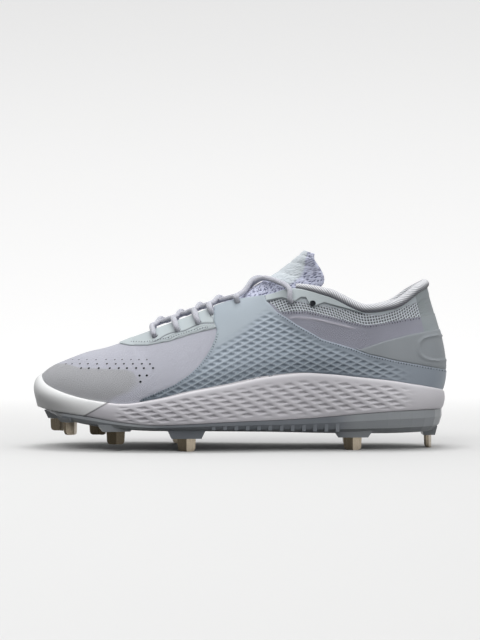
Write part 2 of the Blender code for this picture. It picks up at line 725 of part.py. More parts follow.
def build_spike(name, x, y, lift, turn, _, surface):
    """A blade folded to a shallow V, with rounded lower corners."""
    low = SPIKE_LENGTH * lift
    high = SPIKE_LENGTH * (1.0 + lift) - GAP
    half = SPIKE_WIDTH / 2
    corner = 0.0022
    outline = [(-half, high), (-half * 0.94, low + corner), (-half * 0.94 + corner * 0.3, low + corner * 0.3),
               (-half * 0.94 + corner, low), (0.0, low), (half * 0.94 - corner, low),
               (half * 0.94 - corner * 0.3, low + corner * 0.3), (half * 0.94, low + corner),
               (half, high), (0.0, high)]
    points = []
    for back in (0.0, SPIKE_PLATE):
        for across, height in outline:
            fold = SPIKE_BEND * (abs(across) / half)
            points.append((across, fold - SPIKE_BEND / 2 + back - SPIKE_PLATE / 2, height))
    count = len(outline)
    faces = [(0, 1, 2, 3, 4, 9), (4, 5, 6, 7, 8, 9)]
    faces += [tuple(count + corner_ for corner_ in face) for face in faces]
    faces += [(place, (place + 1) % count, count + (place + 1) % count, count + place)
              for place in range(count)]
    facing = turn if y <= 0 else turn + 180
    turned = Matrix.Translation((x * LENGTH, y * BALL_WIDTH, 0.0))
    turned = turned @ Matrix.Rotation(math.radians(facing), 4, "Z")
    return mesh_object(name, [turned @ Vector(point) for point in points], faces, surface)


def row_track(rows, column, at):
    """The same smooth curve along a table that doesn't close on itself."""
    values = np.array([row[column] for row in rows], float)
    padded = np.concatenate([values, values[::-1]])
    return periodic_track(padded, at)


def tongue_face(along, across):
    """Outer face of the tongue: along in rows of its table, across from -1 to 1."""
    x, z, half, back, drop, wrap, _ = (row_track(TONGUE_ROWS, column, along)
                                       for column in range(len(TONGUE)))
    turn = np.radians(wrap) * across
    bow = (1.0 - np.cos(turn)) / (1.0 - np.cos(np.radians(wrap)))
    middle = np.interp(x, (-0.25, 0.15), (0.022, 0.0))
    return np.stack([(x + back * bow) * LENGTH,
                     (middle + half * np.sin(turn) / np.sin(np.radians(wrap))) * BALL_WIDTH,
                     TREAD + (z - drop * bow) * INSTEP_HEIGHT], -1)


def build_tongue(surface):
    last = len(TONGUE_ROWS) - 1.0
    along, across = np.meshgrid(np.linspace(0.0, last, 2 * len(TONGUE_ROWS) - 1),
                                np.linspace(-1.0, 1.0, TONGUE_COLUMNS), indexing="ij")
    small = 0.01
    outer = tongue_face(along, across)
    length = (tongue_face(np.minimum(along + small, last), across)
              - tongue_face(np.maximum(along - small, 0.0), across))
    width = tongue_face(along, across + small) - tongue_face(along, across - small)
    square = np.cross(length, width)
    square /= np.linalg.norm(square, axis=-1, keepdims=True)
    thick = row_track(TONGUE_ROWS, TONGUE.index("thick"), along)
    thick = thick * (1.0 - 0.5 * np.abs(across) ** 6)
    inner = outer - square * thick[..., None]
    faces = grid_faces(*along.shape, 0)
    return wall("tongue", outer.reshape(-1, 3), inner.reshape(-1, 3), faces, surface)


def sweep(name, path, radii, surface, sides):
    """A round tube along a list of points, a radius for each, with flat ends."""
    path = [Vector(point) for point in path]
    points = []
    normal = Vector((0.0, 0.0, 1.0))
    for place, centre in enumerate(path):
        before = path[max(place - 1, 0)]
        after = path[min(place + 1, len(path) - 1)]
        heading = (after - before).normalized()
        normal = (normal - heading * normal.dot(heading)).normalized()
        side = heading.cross(normal)
        for corner in range(sides):
            angle = 2.0 * math.pi * corner / sides
            spoke = math.cos(angle) * normal + math.sin(angle) * side
            points.append(centre + spoke * float(radii[place]))
    faces = []
    for place in range(len(path) - 1):
        for corner in range(sides):
            after = (corner + 1) % sides
            faces.append((place * sides + corner, place * sides + after,
                          (place + 1) * sides + after, (place + 1) * sides + corner))
    faces.append(tuple(range(sides)))
    faces.append(tuple(range((len(path) - 1) * sides, len(path) * sides)))
    return mesh_object(name, points, faces, surface)


def build_collar_roll(surface):
    """Padded roll that sits on the upper's top edge, from throat to throat."""
    start = HEEL_RIB - len(COLLAR_RIBS) + 0.3
    at = ring_stations()
    at = at[(at >= start) & (at <= TURN - start)]
    edge = last_surface(at, np.ones_like(at), -UPPER_WALL / 2)
    below = last_surface(at, np.full_like(at, 0.97), -UPPER_WALL / 2)
    rising = edge - below
    rising /= np.linalg.norm(rising, axis=-1, keepdims=True)
    grow = np.clip((np.minimum(at, TURN - at) - start) / 1.0, 0.0, 1.0)
    radii = ROLL_RADIUS * (0.5 + 0.5 * grow)
    path = edge + rising * (radii + 2.0 * GAP)[:, None]
    return sweep("collar_roll", path, radii, surface, ROLL_SIDES)


def lace_strand(start, end, side, surface):
    """One run of the lace from a hole on one side, over the tongue, to a hole on
    the other side."""
    clear = OVERLAY_THICKNESS + 4.0 * GAP + LACE_RADIUS
    ends = []
    for hole, which in ((start, side), (end, -side)):
        x, z = EYELETS[hole]
        near, up = find_on_last(x * LENGTH, TREAD + z * INSTEP_HEIGHT, which)
        at = near if which < 0 else TURN - near
        ends.append([last_surface(at, up, clear), last_surface(at, 1.0, clear)])
    along = np.linspace(0.0, len(TONGUE_ROWS) - 1.0, 200)
    centre = tongue_face(along, np.zeros_like(along))
    over = []
    for share in (0.28, 0.5, 0.72):
        chord = ends[0][1] * (1.0 - share) + ends[1][1] * share
        chord[0] = ends[0][1][0] + (ends[1][1][0] - ends[0][1][0]) * share ** 1.5
        row = np.interp(chord[0], centre[:, 0], along)
        across = side * (1.0 - 2.0 * share) * 0.9
        face = tongue_face(row, across)
        rise = max(face[2] + LACE_RADIUS + 4.0 * GAP, chord[2])
        over.append(np.array([chord[0], face[1], rise]))
    route = [ends[0][0], ends[0][1], *over, ends[1][1], ends[1][0]]
    path = smooth_route(route, 2)
    return sweep("strand", path, [LACE_RADIUS] * len(path), surface, LACE_SIDES)


def smooth_route(route, steps):
    """Points of a smooth curve through the route's own points."""
    route = np.array(route)
    padded = np.concatenate([[2 * route[0] - route[1]], route, [2 * route[-1] - route[-2]]])
    curve = []
    for place in range(1, len(padded) - 2):
        before, start, end, after = padded[place - 1:place + 3]
        for step in range(steps):
            share = step / steps
            bend = (2 * before - 5 * start + 4 * end - after) * share
            curve.append(start + 0.5 * share * (end - before + bend
                                                + (3 * start - before - 3 * end + after)
                                                * share * share))
    return curve + [route[-1]]


def build_laces(surface):
    """A bar across the front pair of holes, then crossings up to the last pair
    that is used, joined where they cross and meet."""
    laces = lace_strand(0, 0, -1, surface)
    laces.name = "laces"
    for hole in range(len(EYELETS) - 2):
        for side in (-1, 1):
            boolean(laces, lace_strand(hole, hole + 1, side, surface), "UNION")


def main():
    clear_scene()
    upper_skin = material("upper_skin", (0.46, 0.47, 0.52), 0.6)
    wrap_skin = material("wrap_skin", (0.36, 0.42, 0.47), 0.55)
    counter_skin = material("counter_skin", (0.24, 0.27, 0.29), 0.6)
    stay_skin = material("stay_skin", (0.50, 0.53, 0.57), 0.55)
    lace_skin = material("lace_cord", (0.45, 0.46, 0.52), 0.85)
    foam = material("midsole_foam", (0.42, 0.42, 0.44), 0.55)
    rubber = material("bumper_rubber", (0.56, 0.57, 0.57), 0.6)
    plate = material("plate_plastic", (0.14, 0.16, 0.18), 0.5)
    steel = material("spike_steel", (0.42, 0.38, 0.32), 0.35, 1.0)
    lining = material("insole_cloth", (0.40, 0.41, 0.46), 0.9)
    padding = material("tongue_knit", (0.33, 0.35, 0.45), 0.9)
    knit = material("collar_knit", (0.44, 0.44, 0.47), 0.9)
    build_upper(upper_skin)
    build_sole_body(foam, rubber)
    build_insole(lining)
    build_plate(plate)
    for spike in SPIKES:
        build_spike(*spike, steel)
    build_tongue(padding)
    build_collar_roll(knit)
    build_midfoot_wrap(wrap_skin)
    build_heel_counter(counter_skin)
    build_eyestay(stay_skin)
    build_collar_stays(stay_skin)
    build_laces(lace_skin)
    for piece in bpy.data.objects:
        piece.location.y = CENTRELINE * BALL_WIDTH


main()
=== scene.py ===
"""Looks of the low-cut baseball shoe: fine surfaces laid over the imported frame."""

import math

import bmesh
import bpy
import numpy as np
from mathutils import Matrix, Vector


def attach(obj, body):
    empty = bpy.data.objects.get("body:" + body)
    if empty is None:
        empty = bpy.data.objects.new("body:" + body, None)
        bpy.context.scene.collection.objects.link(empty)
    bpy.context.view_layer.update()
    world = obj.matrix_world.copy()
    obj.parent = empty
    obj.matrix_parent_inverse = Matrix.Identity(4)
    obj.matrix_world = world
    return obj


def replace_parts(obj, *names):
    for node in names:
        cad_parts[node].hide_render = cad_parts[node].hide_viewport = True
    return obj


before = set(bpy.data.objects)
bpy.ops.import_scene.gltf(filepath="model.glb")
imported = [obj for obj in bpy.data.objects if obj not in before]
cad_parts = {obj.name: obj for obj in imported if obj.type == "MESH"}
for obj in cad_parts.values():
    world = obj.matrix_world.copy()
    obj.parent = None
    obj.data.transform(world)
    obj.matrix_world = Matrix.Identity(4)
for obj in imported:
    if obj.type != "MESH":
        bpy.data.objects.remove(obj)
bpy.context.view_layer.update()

# Driving dimensions, the same as the source's, in metres
LENGTH = 0.3000
BALL_WIDTH = 0.1060
SPIKE_LENGTH = 0.0092
BOSS_HEIGHT = 0.0054
SOLE_HEIGHT = 0.0404
INSTEP_HEIGHT = 0.1002
HEEL_HEIGHT = 0.1012
UPPER_WALL = 0.0020
SIDEWALL_LIP = 0.0017
TOE_BULGE = 0.0026
TOE_TUCK = 0.0004
SIDEWALL_BULGE = 0.0012
SOLE_REACH = 0.0030
SEAM_FOOT = -0.1532
SEAM_SLOPE = 1.77
INSOLE_THICKNESS = 0.0040
ROLL_RADIUS = 0.0034
OVERLAY = 0.0010
DIAMOND_DEPTH = 0.0012
DENT_DEPTH = 0.0011
LACE_RADIUS = 0.0019
EYELET_RADIUS = 0.0021
TREAD = SPIKE_LENGTH + BOSS_HEIGHT

# Fine sizes of the looks alone, in metres
PANEL_ROOT = 0.0002        # how far a panel's hidden back lies inside the last
NET_PITCH = 0.0020
SOLE_TURN_IN = 0.012       # how far the sidewall's foot turns in under the shoe
SEAM_GAP = 0.00015         # from the toe's seam to the foam and to the rubber
HOLE_REACH = 0.006         # how far from a lace hole's middle its cut looks for points
SPIKE_EDGE = 0.0003        # rounding of the steel's edges

# Camera of the photograph and its scale
CAMERA_X = 0.00036
CAMERA_DISTANCE = 1.15
CAMERA_HEIGHT = 0.0923
VIEW_HEIGHT = 0.465        # height of the picture at the shoe's middle
PICTURE = (480, 640)
PIXEL = VIEW_HEIGHT / PICTURE[1]

# The last, as in the source: one row for each rib, toe to heel.
RIB = ("foot_x", "outer", "inner", "ridge", "top_x", "open", "top_z",
       "slope", "foot_lean", "foot_pull", "top_lean", "top_pull")
VAMP_RIBS = [
    (-0.4835, 0.045, 0.045, 0.045, -0.428, 0.000, 0.478, 0.36, 27, 0.44, 90, 0.50),
    (-0.4580, 0.140, 0.240, 0.040, -0.399, 0.000, 0.513, 0.40, 22, 0.42, 90, 0.50),
    (-0.4080, 0.285, 0.345, 0.034, -0.364, 0.000, 0.549, 0.32, 18, 0.40, 90, 0.48),
    (-0.3450, 0.372, 0.402, 0.028, -0.327, 0.000, 0.574, 0.24, 14, 0.39, 90, 0.46),
    (-0.2700, 0.424, 0.425, 0.024, -0.288, 0.000, 0.611, 0.36, 11, 0.38, 90, 0.45),
    (-0.2030, 0.448, 0.420, 0.022, -0.262, 0.000, 0.642, 0.38, 9, 0.38, 90, 0.43),
]
THROAT_RIBS = [
    (-0.1680, 0.455, 0.410, 0.022, -0.250, 0.085, 0.654, 0.38, 8, 0.38, 76, 0.40),
    (-0.1180, 0.456, 0.392, 0.022, -0.205, 0.140, 0.704, 0.38, 7, 0.38, 64, 0.36),
    (-0.0270, 0.428, 0.352, 0.020, -0.115, 0.165, 0.806, 0.36, 6, 0.38, 56, 0.34),
    (0.0730, 0.380, 0.312, 0.016, -0.015, 0.180, 0.916, 0.30, 5, 0.38, 48, 0.33),
    (0.1600, 0.350, 0.304, 0.010, 0.068, 0.205, 0.955, 0.15, 5, 0.38, 38, 0.31),
    (0.2200, 0.340, 0.306, 0.006, 0.127, 0.262, 1.000, 0.00, 6, 0.38, 24, 0.30),
]
COLLAR_RIBS = [
    (0.2820, 0.336, 0.310, 0.004, 0.208, 0.302, 0.932, 0.00, 7, 0.38, 12, 0.30),
    (0.3480, 0.324, 0.310, 0.002, 0.300, 0.308, 0.818, 0.00, 9, 0.38, 9, 0.30),
    (0.4050, 0.282, 0.276, 0.001, 0.366, 0.272, 0.846, 0.00, 13, 0.36, 8, 0.31),
    (0.4580, 0.184, 0.184, 0.000, 0.424, 0.192, 0.952, 0.00, 22, 0.35, 11, 0.32),
    (0.4810, 0.000, 0.000, 0.000, 0.454, 0.000, 1.000, 0.00, 27, 0.35, 13, 0.33),
]
HEEL_RIB = len(VAMP_RIBS) + len(THROAT_RIBS) + len(COLLAR_RIBS) - 1
RIDGE_END = len(VAMP_RIBS) - 1
CENTRE_Y = 0.0142 * BALL_WIDTH
TURN = 2 * HEEL_RIB
SOLE = ("under", "plate", "bed", "outer_edge", "inner_edge")
SOLE_RIBS = [
    (0.300, 0.372, 0.500, 0.955, 0.955),
    (0.235, 0.345, 0.465, 0.800, 0.800),
    (0.150, 0.300, 0.420, 0.645, 0.645),
    (0.075, 0.240, 0.375, 0.530, 0.540),
    (0.020, 0.150, 0.335, 0.470, 0.500),
    (0.000, 0.108, 0.320, 0.535, 0.560),
    (0.000, 0.112, 0.322, 0.585, 0.610),
    (0.000, 0.128, 0.330, 0.675, 0.690),
    (-0.010, 0.160, 0.350, 0.800, 0.800),
    (-0.025, 0.185, 0.385, 0.945, 0.930),
    (-0.045, 0.215, 0.430, 1.000, 1.000),
    (-0.055, 0.250, 0.465, 0.975, 0.985),
    (-0.060, 0.290, 0.500, 0.925, 0.940),
    (-0.060, 0.325, 0.525, 0.870, 0.880),
    (-0.055, 0.345, 0.535, 0.800, 0.805),
    (-0.045, 0.350, 0.535, 0.725, 0.725),
    (-0.035, 0.350, 0.535, 0.665, 0.665),
]
TONGUE = ("x", "z", "half", "back", "drop", "wrap", "thick")
TONGUE_ROWS = [
    (-0.285, 0.570, 0.150, 0.000, 0.040, 40, 0.0025),
    (-0.205, 0.668, 0.215, 0.000, 0.090, 50, 0.0030),
    (-0.115, 0.795, 0.235, 0.004, 0.115, 55, 0.0040),
    (-0.025, 0.925, 0.232, 0.022, 0.165, 60, 0.0045),
    (0.040, 1.030, 0.226, 0.075, 0.160, 72, 0.0050),
    (0.092, 1.128, 0.232, 0.104, 0.105, 80, 0.0055),
    (0.136, 1.230, 0.222, 0.044, 0.040, 80, 0.0055),
    (0.157, 1.284, 0.200, 0.012, 0.034, 80, 0.0050),
]
EYELETS = [
    (-0.201, 0.650), (-0.146, 0.698), (-0.099, 0.748), (-0.063, 0.824),
    (-0.004, 0.897), (0.121, 0.905), (0.171, 0.893),
]
LACED_HOLES = 6            # the last eyelet stays empty

# Ridges round the wrap's diamonds and the foam's dents: slope, and pitch downwards
# in pixels of the photograph
WRAP_RIDGES = ((-0.532, 6.5), (0.452, 6.5))
FOAM_RIDGES = ((-0.20, 5.5), (0.59, 11.0))

# Edges of the panels as the photograph shows them, in its pixels from top left
WRAP_FRONT = [
    (137.0, 402.0), (142.3, 398.4), (155.7, 393.0), (173.6, 385.0), (189.6, 374.3),
    (200.4, 363.6), (209.3, 351.0), (214.6, 338.6), (217.0, 329.6), (213.5, 320.0),
    (213.5, 305.0),
]
WRAP_REAR = [
    (264.0, 294.0), (266.4, 301.0), (277.0, 312.0), (285.5, 317.0), (298.0, 325.4),
    (314.5, 334.5), (321.0, 338.7), (352.0, 348.0), (368.0, 354.0), (398.0, 361.0),
    (440.0, 368.5), (452.0, 370.5),
]
EYESTAY_LOW = [
    (112.0, 336.0), (120.0, 342.6), (129.0, 344.4), (147.0, 344.4), (169.0, 340.4),
    (191.4, 333.2), (213.3, 328.0), (224.0, 325.0),
]
STAY_LOW = [
    (262.0, 303.0), (268.0, 300.6), (282.0, 298.0), (294.6, 302.0), (301.0, 297.7),
    (306.0, 298.0), (309.3, 304.4), (313.8, 307.0), (319.0, 305.0), (324.0, 303.0),
    (339.0, 307.0), (350.0, 310.0), (362.0, 313.5),
]
COUNTER_TOP = [
    (350.0, 353.0), (360.0, 349.6), (385.0, 341.0), (410.0, 334.5), (437.8, 329.0),
    (446.0, 328.0),
]
NET_LOW = [
    (262.0, 300.0), (272.0, 304.0), (280.6, 312.0), (307.0, 311.4), (328.7, 316.4),
    (353.6, 323.0), (367.0, 325.5), (381.0, 324.0), (405.0, 319.3), (423.4, 316.4),
    (432.0, 314.0),
]
NET_TOP = [
    (262.0, 296.0), (350.7, 310.7), (367.0, 314.5), (379.4, 316.0), (395.7, 310.7),
    (414.8, 303.0), (423.4, 298.3), (432.0, 293.0),
]
SOLE_EDGE = [
    (109.0, 401.4), (134.0, 404.1), (157.0, 399.5), (180.0, 395.5), (215.0, 388.5),
    (248.0, 382.3), (272.0, 378.0), (296.0, 373.3), (330.0, 374.2), (383.0, 380.0),
    (442.7, 390.7),
]
TOE_TOP = [
    (30.0, 366.0), (64.6, 363.0), (80.0, 367.5), (127.0, 369.3), (133.0, 371.5), (136.5, 377.0),
]
TOE_REAR = [
    (369.0, 127.0), (373.8, 135.2), (383.6, 135.2), (391.6, 127.0), (397.0, 113.8), (404.0, 100.0),
]
SMOOTH_LOW = [
    (200.0, 352.0), (215.0, 345.0), (232.0, 337.0), (246.0, 327.0), (258.0, 316.0),
    (268.0, 309.0), (290.0, 309.0),
]
QUARTER_LINE = [
    (288.0, 317.5), (301.0, 317.5), (314.0, 319.0), (333.0, 323.0), (350.0, 327.4),
    (357.0, 329.0),
]

# Where the panels begin and end, in ribs from the toe
WRAP_START = 4.55
COUNTER_START = 12.35
EYESTAY_SPAN = (3.6, 8.55)
EYESTAY_MEETS_WRAP = 7.5   # from here the eyestay begins at the wrap's edge
STAY_SPAN = (9.75, 12.9)
LEAST_PANEL = 0.012        # least height of a panel, as a share of its rib
PANEL_LAP = 0.002          # how far one panel reaches under the next, the same way

# Breathing holes in the vamp: height of the row, their radius in metres, then
# where they sit along it
PIERCED_ROWS = [
    (364.0, 0.00072, (66, 72, 80, 88, 97, 107, 116, 124, 133, 142, 150)),
    (359.8, 0.00052, (73, 79, 87, 96, 106, 115, 122, 131, 139, 147)),
    (368.3, 0.00082, (81, 89, 99, 110, 119, 127, 136, 144, 153)),
    (375.6, 0.00086, (139.4, 146.8)),
    (382.0, 0.00086, (140.4,)),
]

SPIKES = ("spike_toe_inner", "spike_toe_outer", "spike_front_inner", "spike_front_outer",
          "spike_ball_outer", "spike_ball_inner", "spike_heel_outer", "spike_heel_inner",
          "spike_heel_back")

# Places in the photograph, in its pixels
WRAP_REAR_START = 264.0    # where the wrap's rear edge begins
NET_START = 262.0          # where the net's window begins
STRIP_EDGE = (414.0, 290.0, 0.24)    # the heel strip's edge: across, down and its lean
BADGE_PLACE = (440.0, 348.0)         # the bare field on the heel and its half sizes
BADGE_HALF = (21.0, 12.5)


def periodic_track(values, at):
    """Smooth curve without overshoot through values spaced one apart on a ring."""
    step = np.roll(values, -1) - values
    before = np.roll(step, 1)
    together = before * step > 0
    total = np.where(together, before + step, 1.0)
    tangent = np.where(together, 2.0 * before * step / total, 0.0)
    low = np.floor(at).astype(int)
    share = at - low
    start = low % len(values)
    end = (start + 1) % len(values)
    rise = share * share * (3.0 - 2.0 * share)
    return (values[start] * (1.0 - rise) + values[end] * rise
            + tangent[start] * share * (1.0 - share) ** 2
            - tangent[end] * share * share * (1.0 - share))


def ring_table():
    """Every column of the last and the sole as a ring, in metres and radians."""
    ribs = []
    for rows, height in ((VAMP_RIBS, INSTEP_HEIGHT), (THROAT_RIBS, INSTEP_HEIGHT),
                         (COLLAR_RIBS, HEEL_HEIGHT)):
        for row in rows:
            rib = dict(zip(RIB, row))
            rib["top_z"] *= height
            ribs.append(rib)
    for rib, row in zip(ribs, SOLE_RIBS):
        rib.update(zip(SOLE, row))
    ring = {name: np.zeros(TURN) for name in
            ("foot_x", "foot_y", "top_x", "ridge", "open", "top_z", "slope", "foot_lean",
             "foot_pull", "top_lean", "top_pull", "under", "plate", "bed", "edge")}
    for place in range(TURN):
        outer = place <= HEEL_RIB
        rib = ribs[place if outer else TURN - place]
        side = -1.0 if outer else 1.0
        foot = -rib["outer"] if outer else rib["inner"]
        if place == 0:
            foot = rib["inner"]
        ring["foot_x"][place] = rib["foot_x"] * LENGTH
        ring["foot_y"][place] = foot * BALL_WIDTH
        ring["top_x"][place] = rib["top_x"] * LENGTH
        ring["ridge"][place] = rib["ridge"] * BALL_WIDTH
        ring["open"][place] = side * rib["open"] * BALL_WIDTH
        ring["top_z"][place] = TREAD + rib["top_z"]
        for name in ("slope", "foot_pull", "top_pull"):
            ring[name][place] = rib[name]
        for name in ("foot_lean", "top_lean"):
            ring[name][place] = math.radians(rib[name])
        for name in ("under", "plate", "bed"):
            ring[name][place] = TREAD + rib[name] * SOLE_HEIGHT
        edge = rib["outer_edge"] if outer else rib["inner_edge"]
        ring["edge"][place] = TREAD + edge * SOLE_HEIGHT
    return ring


RING = ring_table()


def track(name, at):
    return periodic_track(RING[name], at)


def outward(at):
    """Unit plan vector square to the last's foot, pointing out."""
    small = 0.05
    along_x = track("foot_x", at + small) - track("foot_x", at - small)
    along_y = track("foot_y", at + small) - track("foot_y", at - small)
    size = np.hypot(along_x, along_y)
    return along_y / size, -along_x / size


def last_place(at, up):
    """Point of the last's surface: at in ribs round the shoe, up from 0 to 1."""
    out_x, out_y = outward(at)
    foot = np.stack([track("foot_x", at), track("foot_y", at) + CENTRE_Y, track("bed", at)], -1)
    top_y = track("ridge", at) + track("open", at) + CENTRE_Y
    top = np.stack([track("top_x", at), top_y, track("top_z", at)], -1)
    chord = np.linalg.norm(top - foot, axis=-1)
    lean = track("foot_lean", at)
    pull = track("foot_pull", at) * chord
    swell = foot + np.stack([np.sin(lean) * out_x * pull, np.sin(lean) * out_y * pull,
                             np.cos(lean) * pull], -1)
    lean = track("top_lean", at)
    pull = track("top_pull", at) * chord
    tilt = track("slope", at) * out_x * np.sin(lean)
    shoulder = top + np.stack([np.sin(lean) * out_x * pull, np.sin(lean) * out_y * pull,
                               (tilt - np.cos(lean)) * pull], -1)
    up = np.asarray(up)[..., None]
    down = 1.0 - up
    return (foot * down ** 3 + 3.0 * swell * up * down ** 2
            + 3.0 * shoulder * up * up * down + top * up ** 3)


def ring_distance(at):
    """Ribs between a place on the ring and the toe, the shorter way round."""
    return np.abs((np.asarray(at) + HEEL_RIB) % TURN - HEEL_RIB)


def last_surface(at, up, offset=0.0):
    """last_place moved square to the surface, out by offset."""
    at, up = np.broadcast_arrays(np.asarray(at, float), np.asarray(up, float))
    small = 0.02
    place = last_place(at, up)
    round_it = last_place(at + small, up) - last_place(at - small, up)
    rise = last_place(at, np.minimum(up + small, 1.0)) - last_place(at, up - small)
    square = np.cross(round_it, rise)
    on_ridge = (ring_distance(at) <= RIDGE_END) & (up >= 0.9999)
    slope = track("slope", at)
    crest = np.stack([-slope, np.zeros_like(slope), np.ones_like(slope)], -1)
    square = np.where(on_ridge[..., None], crest, square)
    square = square / np.linalg.norm(square, axis=-1, keepdims=True)
    return place + np.asarray(offset)[..., None] * square


def photo_place(points):
    """Where the photograph shows each point, in its pixels. Points of the inner
    side take the place of their mirror image, so both sides are alike."""
    distance = CAMERA_DISTANCE - np.abs(points[..., 1])
    scale = PIXEL * distance / CAMERA_DISTANCE
    across = PICTURE[0] / 2 + (points[..., 0] - CAMERA_X) / scale
    down = PICTURE[1] / 2 - (points[..., 2] - CAMERA_HEIGHT) / scale
    return across, down


def below(across, down, outline):
    """Pixels that a place lies below an outline, negative above it."""
    return down - np.interp(across, *np.array(outline).T)


def ease(value, start, end):
    """0 at start, 1 at end, smooth between them."""
    share = np.clip((value - start) / (end - start), 0.0, 1.0)
    return share * share * (3.0 - 2.0 * share)


def grid_faces(columns, rows, closed=False):
    """Quads of a grid whose points are stored column after column."""
    faces = []
    for column in range(columns if closed else columns - 1):
        here = column * rows
        there = (column + 1) % columns * rows
        for row in range(rows - 1):
            faces.append((here + row, there + row, there + row + 1, here + row + 1))
    return faces


def mesh_piece(name, points, faces, finish, values=(), stretch=None, angle=50):
    """A piece of the looks: mesh, material, per-point values and surface lengths."""
    mesh = bpy.data.meshes.new(name)
    mesh.from_pydata([tuple(point) for point in np.asarray(points).reshape(-1, 3)], [], faces)
    for label, value in dict(values).items():
        layer = mesh.attributes.new(label, "FLOAT", "POINT")
        layer.data.foreach_set("value", np.asarray(value, np.float32).ravel())
    if stretch is not None:
        layer = mesh.uv_layers.new(name="skin")
        corners = np.empty(len(mesh.loops), dtype=np.int32)
        mesh.loops.foreach_get("vertex_index", corners)
        flat = np.asarray(stretch, np.float32).reshape(-1, 2)[corners]
        layer.data.foreach_set("uv", flat.ravel())
    mesh.materials.append(finish)
    piece = bpy.data.objects.new(name, mesh)
    bpy.context.scene.collection.objects.link(piece)
    shape = bmesh.new()
    shape.from_mesh(mesh)
    bmesh.ops.remove_doubles(shape, verts=shape.verts, dist=1e-6)
    bmesh.ops.dissolve_degenerate(shape, edges=shape.edges, dist=1e-7)
    loose = [point for point in shape.verts if not point.link_faces]
    bmesh.ops.delete(shape, geom=loose, context="VERTS")
    shape.to_mesh(mesh)
    shape.free()
    mesh.shade_smooth()
    mesh.set_sharp_from_angle(angle=math.radians(angle))
    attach(piece, "root")
    return piece


def surface_lengths(points):
    """Lengths along both directions of a grid of points, in metres."""
    round_it = np.linalg.norm(np.diff(points, axis=0), axis=-1)
    middle = round_it[:, round_it.shape[1] * 2 // 3]
    along = np.concatenate([[0.0], np.cumsum(middle)])
    rise = np.linalg.norm(np.diff(points, axis=1), axis=-1)
    up = np.concatenate([np.zeros((len(points), 1)), np.cumsum(rise, axis=1)], axis=1)
    down = up[:, -1:] - up
    return np.stack([np.broadcast_to(along[:, None], down.shape), down], -1)


# Materials


class Nodes:
    """A node tree that is written as a chain of short calls."""

    def __init__(self, tree):
        self.tree = tree

    def node(self, kind, **settings):
        made = self.tree.nodes.new(kind)
        for name, value in settings.items():
            setattr(made, name, value)
        return made

    def put(self, socket, value):
        if isinstance(value, bpy.types.NodeSocket):
            self.tree.links.new(value, socket)
        else:
            socket.default_value = value

    def filled(self, kind, values, **settings):
        """A node whose sockets get their values by name."""
        made = self.node(kind, **settings)
        for name, value in values.items():
            self.put(made.inputs[name], value)
        return made

    def sums(self, operation, *values):
        made = self.node("ShaderNodeMath", operation=operation)
        for socket, value in zip(made.inputs, values):
            self.put(socket, value)
        return made.outputs[0]

    def times(self, first, second):
        return self.sums("MULTIPLY", first, second)

    def axis(self, vector, name):
        """One coordinate of a vector."""
        return self.filled("ShaderNodeSeparateXYZ", {"Vector": vector}).outputs[name]

    def ripple(self, kind, vector, name, pitch):
        """Sine or cosine along one coordinate, with its pitch in the same units."""
        return self.sums(kind, self.times(self.axis(vector, name), 2.0 * math.pi / pitch))

    def ramp(self, value, low, high, start=0.0, end=1.0):
        """From start at low to end at high, smooth between them."""
        return self.filled("ShaderNodeMapRange",
                           {"Value": value, "From Min": low, "From Max": high,
                            "To Min": start, "To Max": end},
                           interpolation_type="SMOOTHSTEP").outputs[0]


class Finish(Nodes):
    """A material with one shader."""

    def __init__(self, name, roughness=0.6, sheen=0.0, coat=0.0, metallic=0.0, specular=0.4):
        self.made = bpy.data.materials.new(name)
        self.made.use_nodes = True
        super().__init__(self.made.node_tree)
        self.shader = self.tree.nodes["Principled BSDF"]
        for socket, value in (("Roughness", roughness), ("Sheen Weight", sheen),
                              ("Coat Weight", coat), ("Metallic", metallic),
                              ("Specular IOR Level", specular)):
            self.shader.inputs[socket].default_value = value
        self.normal = None

    def value(self, label):
        return self.node("ShaderNodeAttribute", attribute_name=label).outputs["Fac"]

    def place(self):
        return self.node("ShaderNodeTexCoord").outputs["Object"]

    def mapped(self, where, scale, turn=0.0):
        """A place scaled along each axis and turned in its plane."""
        return self.filled("ShaderNodeMapping",
                           {"Vector": where, "Scale": scale,
                            "Rotation": (0.0, 0.0, math.radians(turn))}).outputs[0]

    def skin(self, across=1.0, down=1.0, turn=0.0):
        """Lengths along the surface, scaled and turned."""
        flat = self.node("ShaderNodeUVMap", uv_map="skin").outputs[0]
        return self.mapped(flat, (across, down, 1.0), turn)

    def noise(self, where, scale, detail=3.0):
        return self.filled("ShaderNodeTexNoise",
                           {"Vector": where, "Scale": scale, "Detail": detail,
                            "Roughness": 0.55}).outputs["Fac"]

    def wave(self, where, scale, direction="X", bend=0.0, bend_scale=2.0):
        return self.filled("ShaderNodeTexWave",
                           {"Vector": where, "Scale": scale, "Distortion": bend,
                            "Detail": 1.0, "Detail Scale": bend_scale},
                           bands_direction=direction).outputs["Fac"]

    def mix(self, share, first, second):
        return self.filled("ShaderNodeMix", {"Factor": share, "A": first, "B": second},
                           data_type="RGBA").outputs["Result"]

    def toned(self, skin, share, strength, colour):
        """A colour laid over the skin by a share that varies and a fixed strength."""
        return self.mix(self.times(share, strength), skin, colour)

    def colour(self, value):
        self.put(self.shader.inputs["Base Color"], value)

    def rough(self, value, low, high):
        made = self.filled("ShaderNodeMapRange", {"Value": value, "To Min": low, "To Max": high})
        self.put(self.shader.inputs["Roughness"], made.outputs[0])

    def bump(self, height, depth, strength=1.0):
        made = self.filled("ShaderNodeBump",
                           {"Strength": strength, "Distance": depth, "Height": height})
        if self.normal is not None:
            self.put(made.inputs["Normal"], self.normal)
        self.normal = made.outputs[0]
        self.put(self.shader.inputs["Normal"], self.normal)


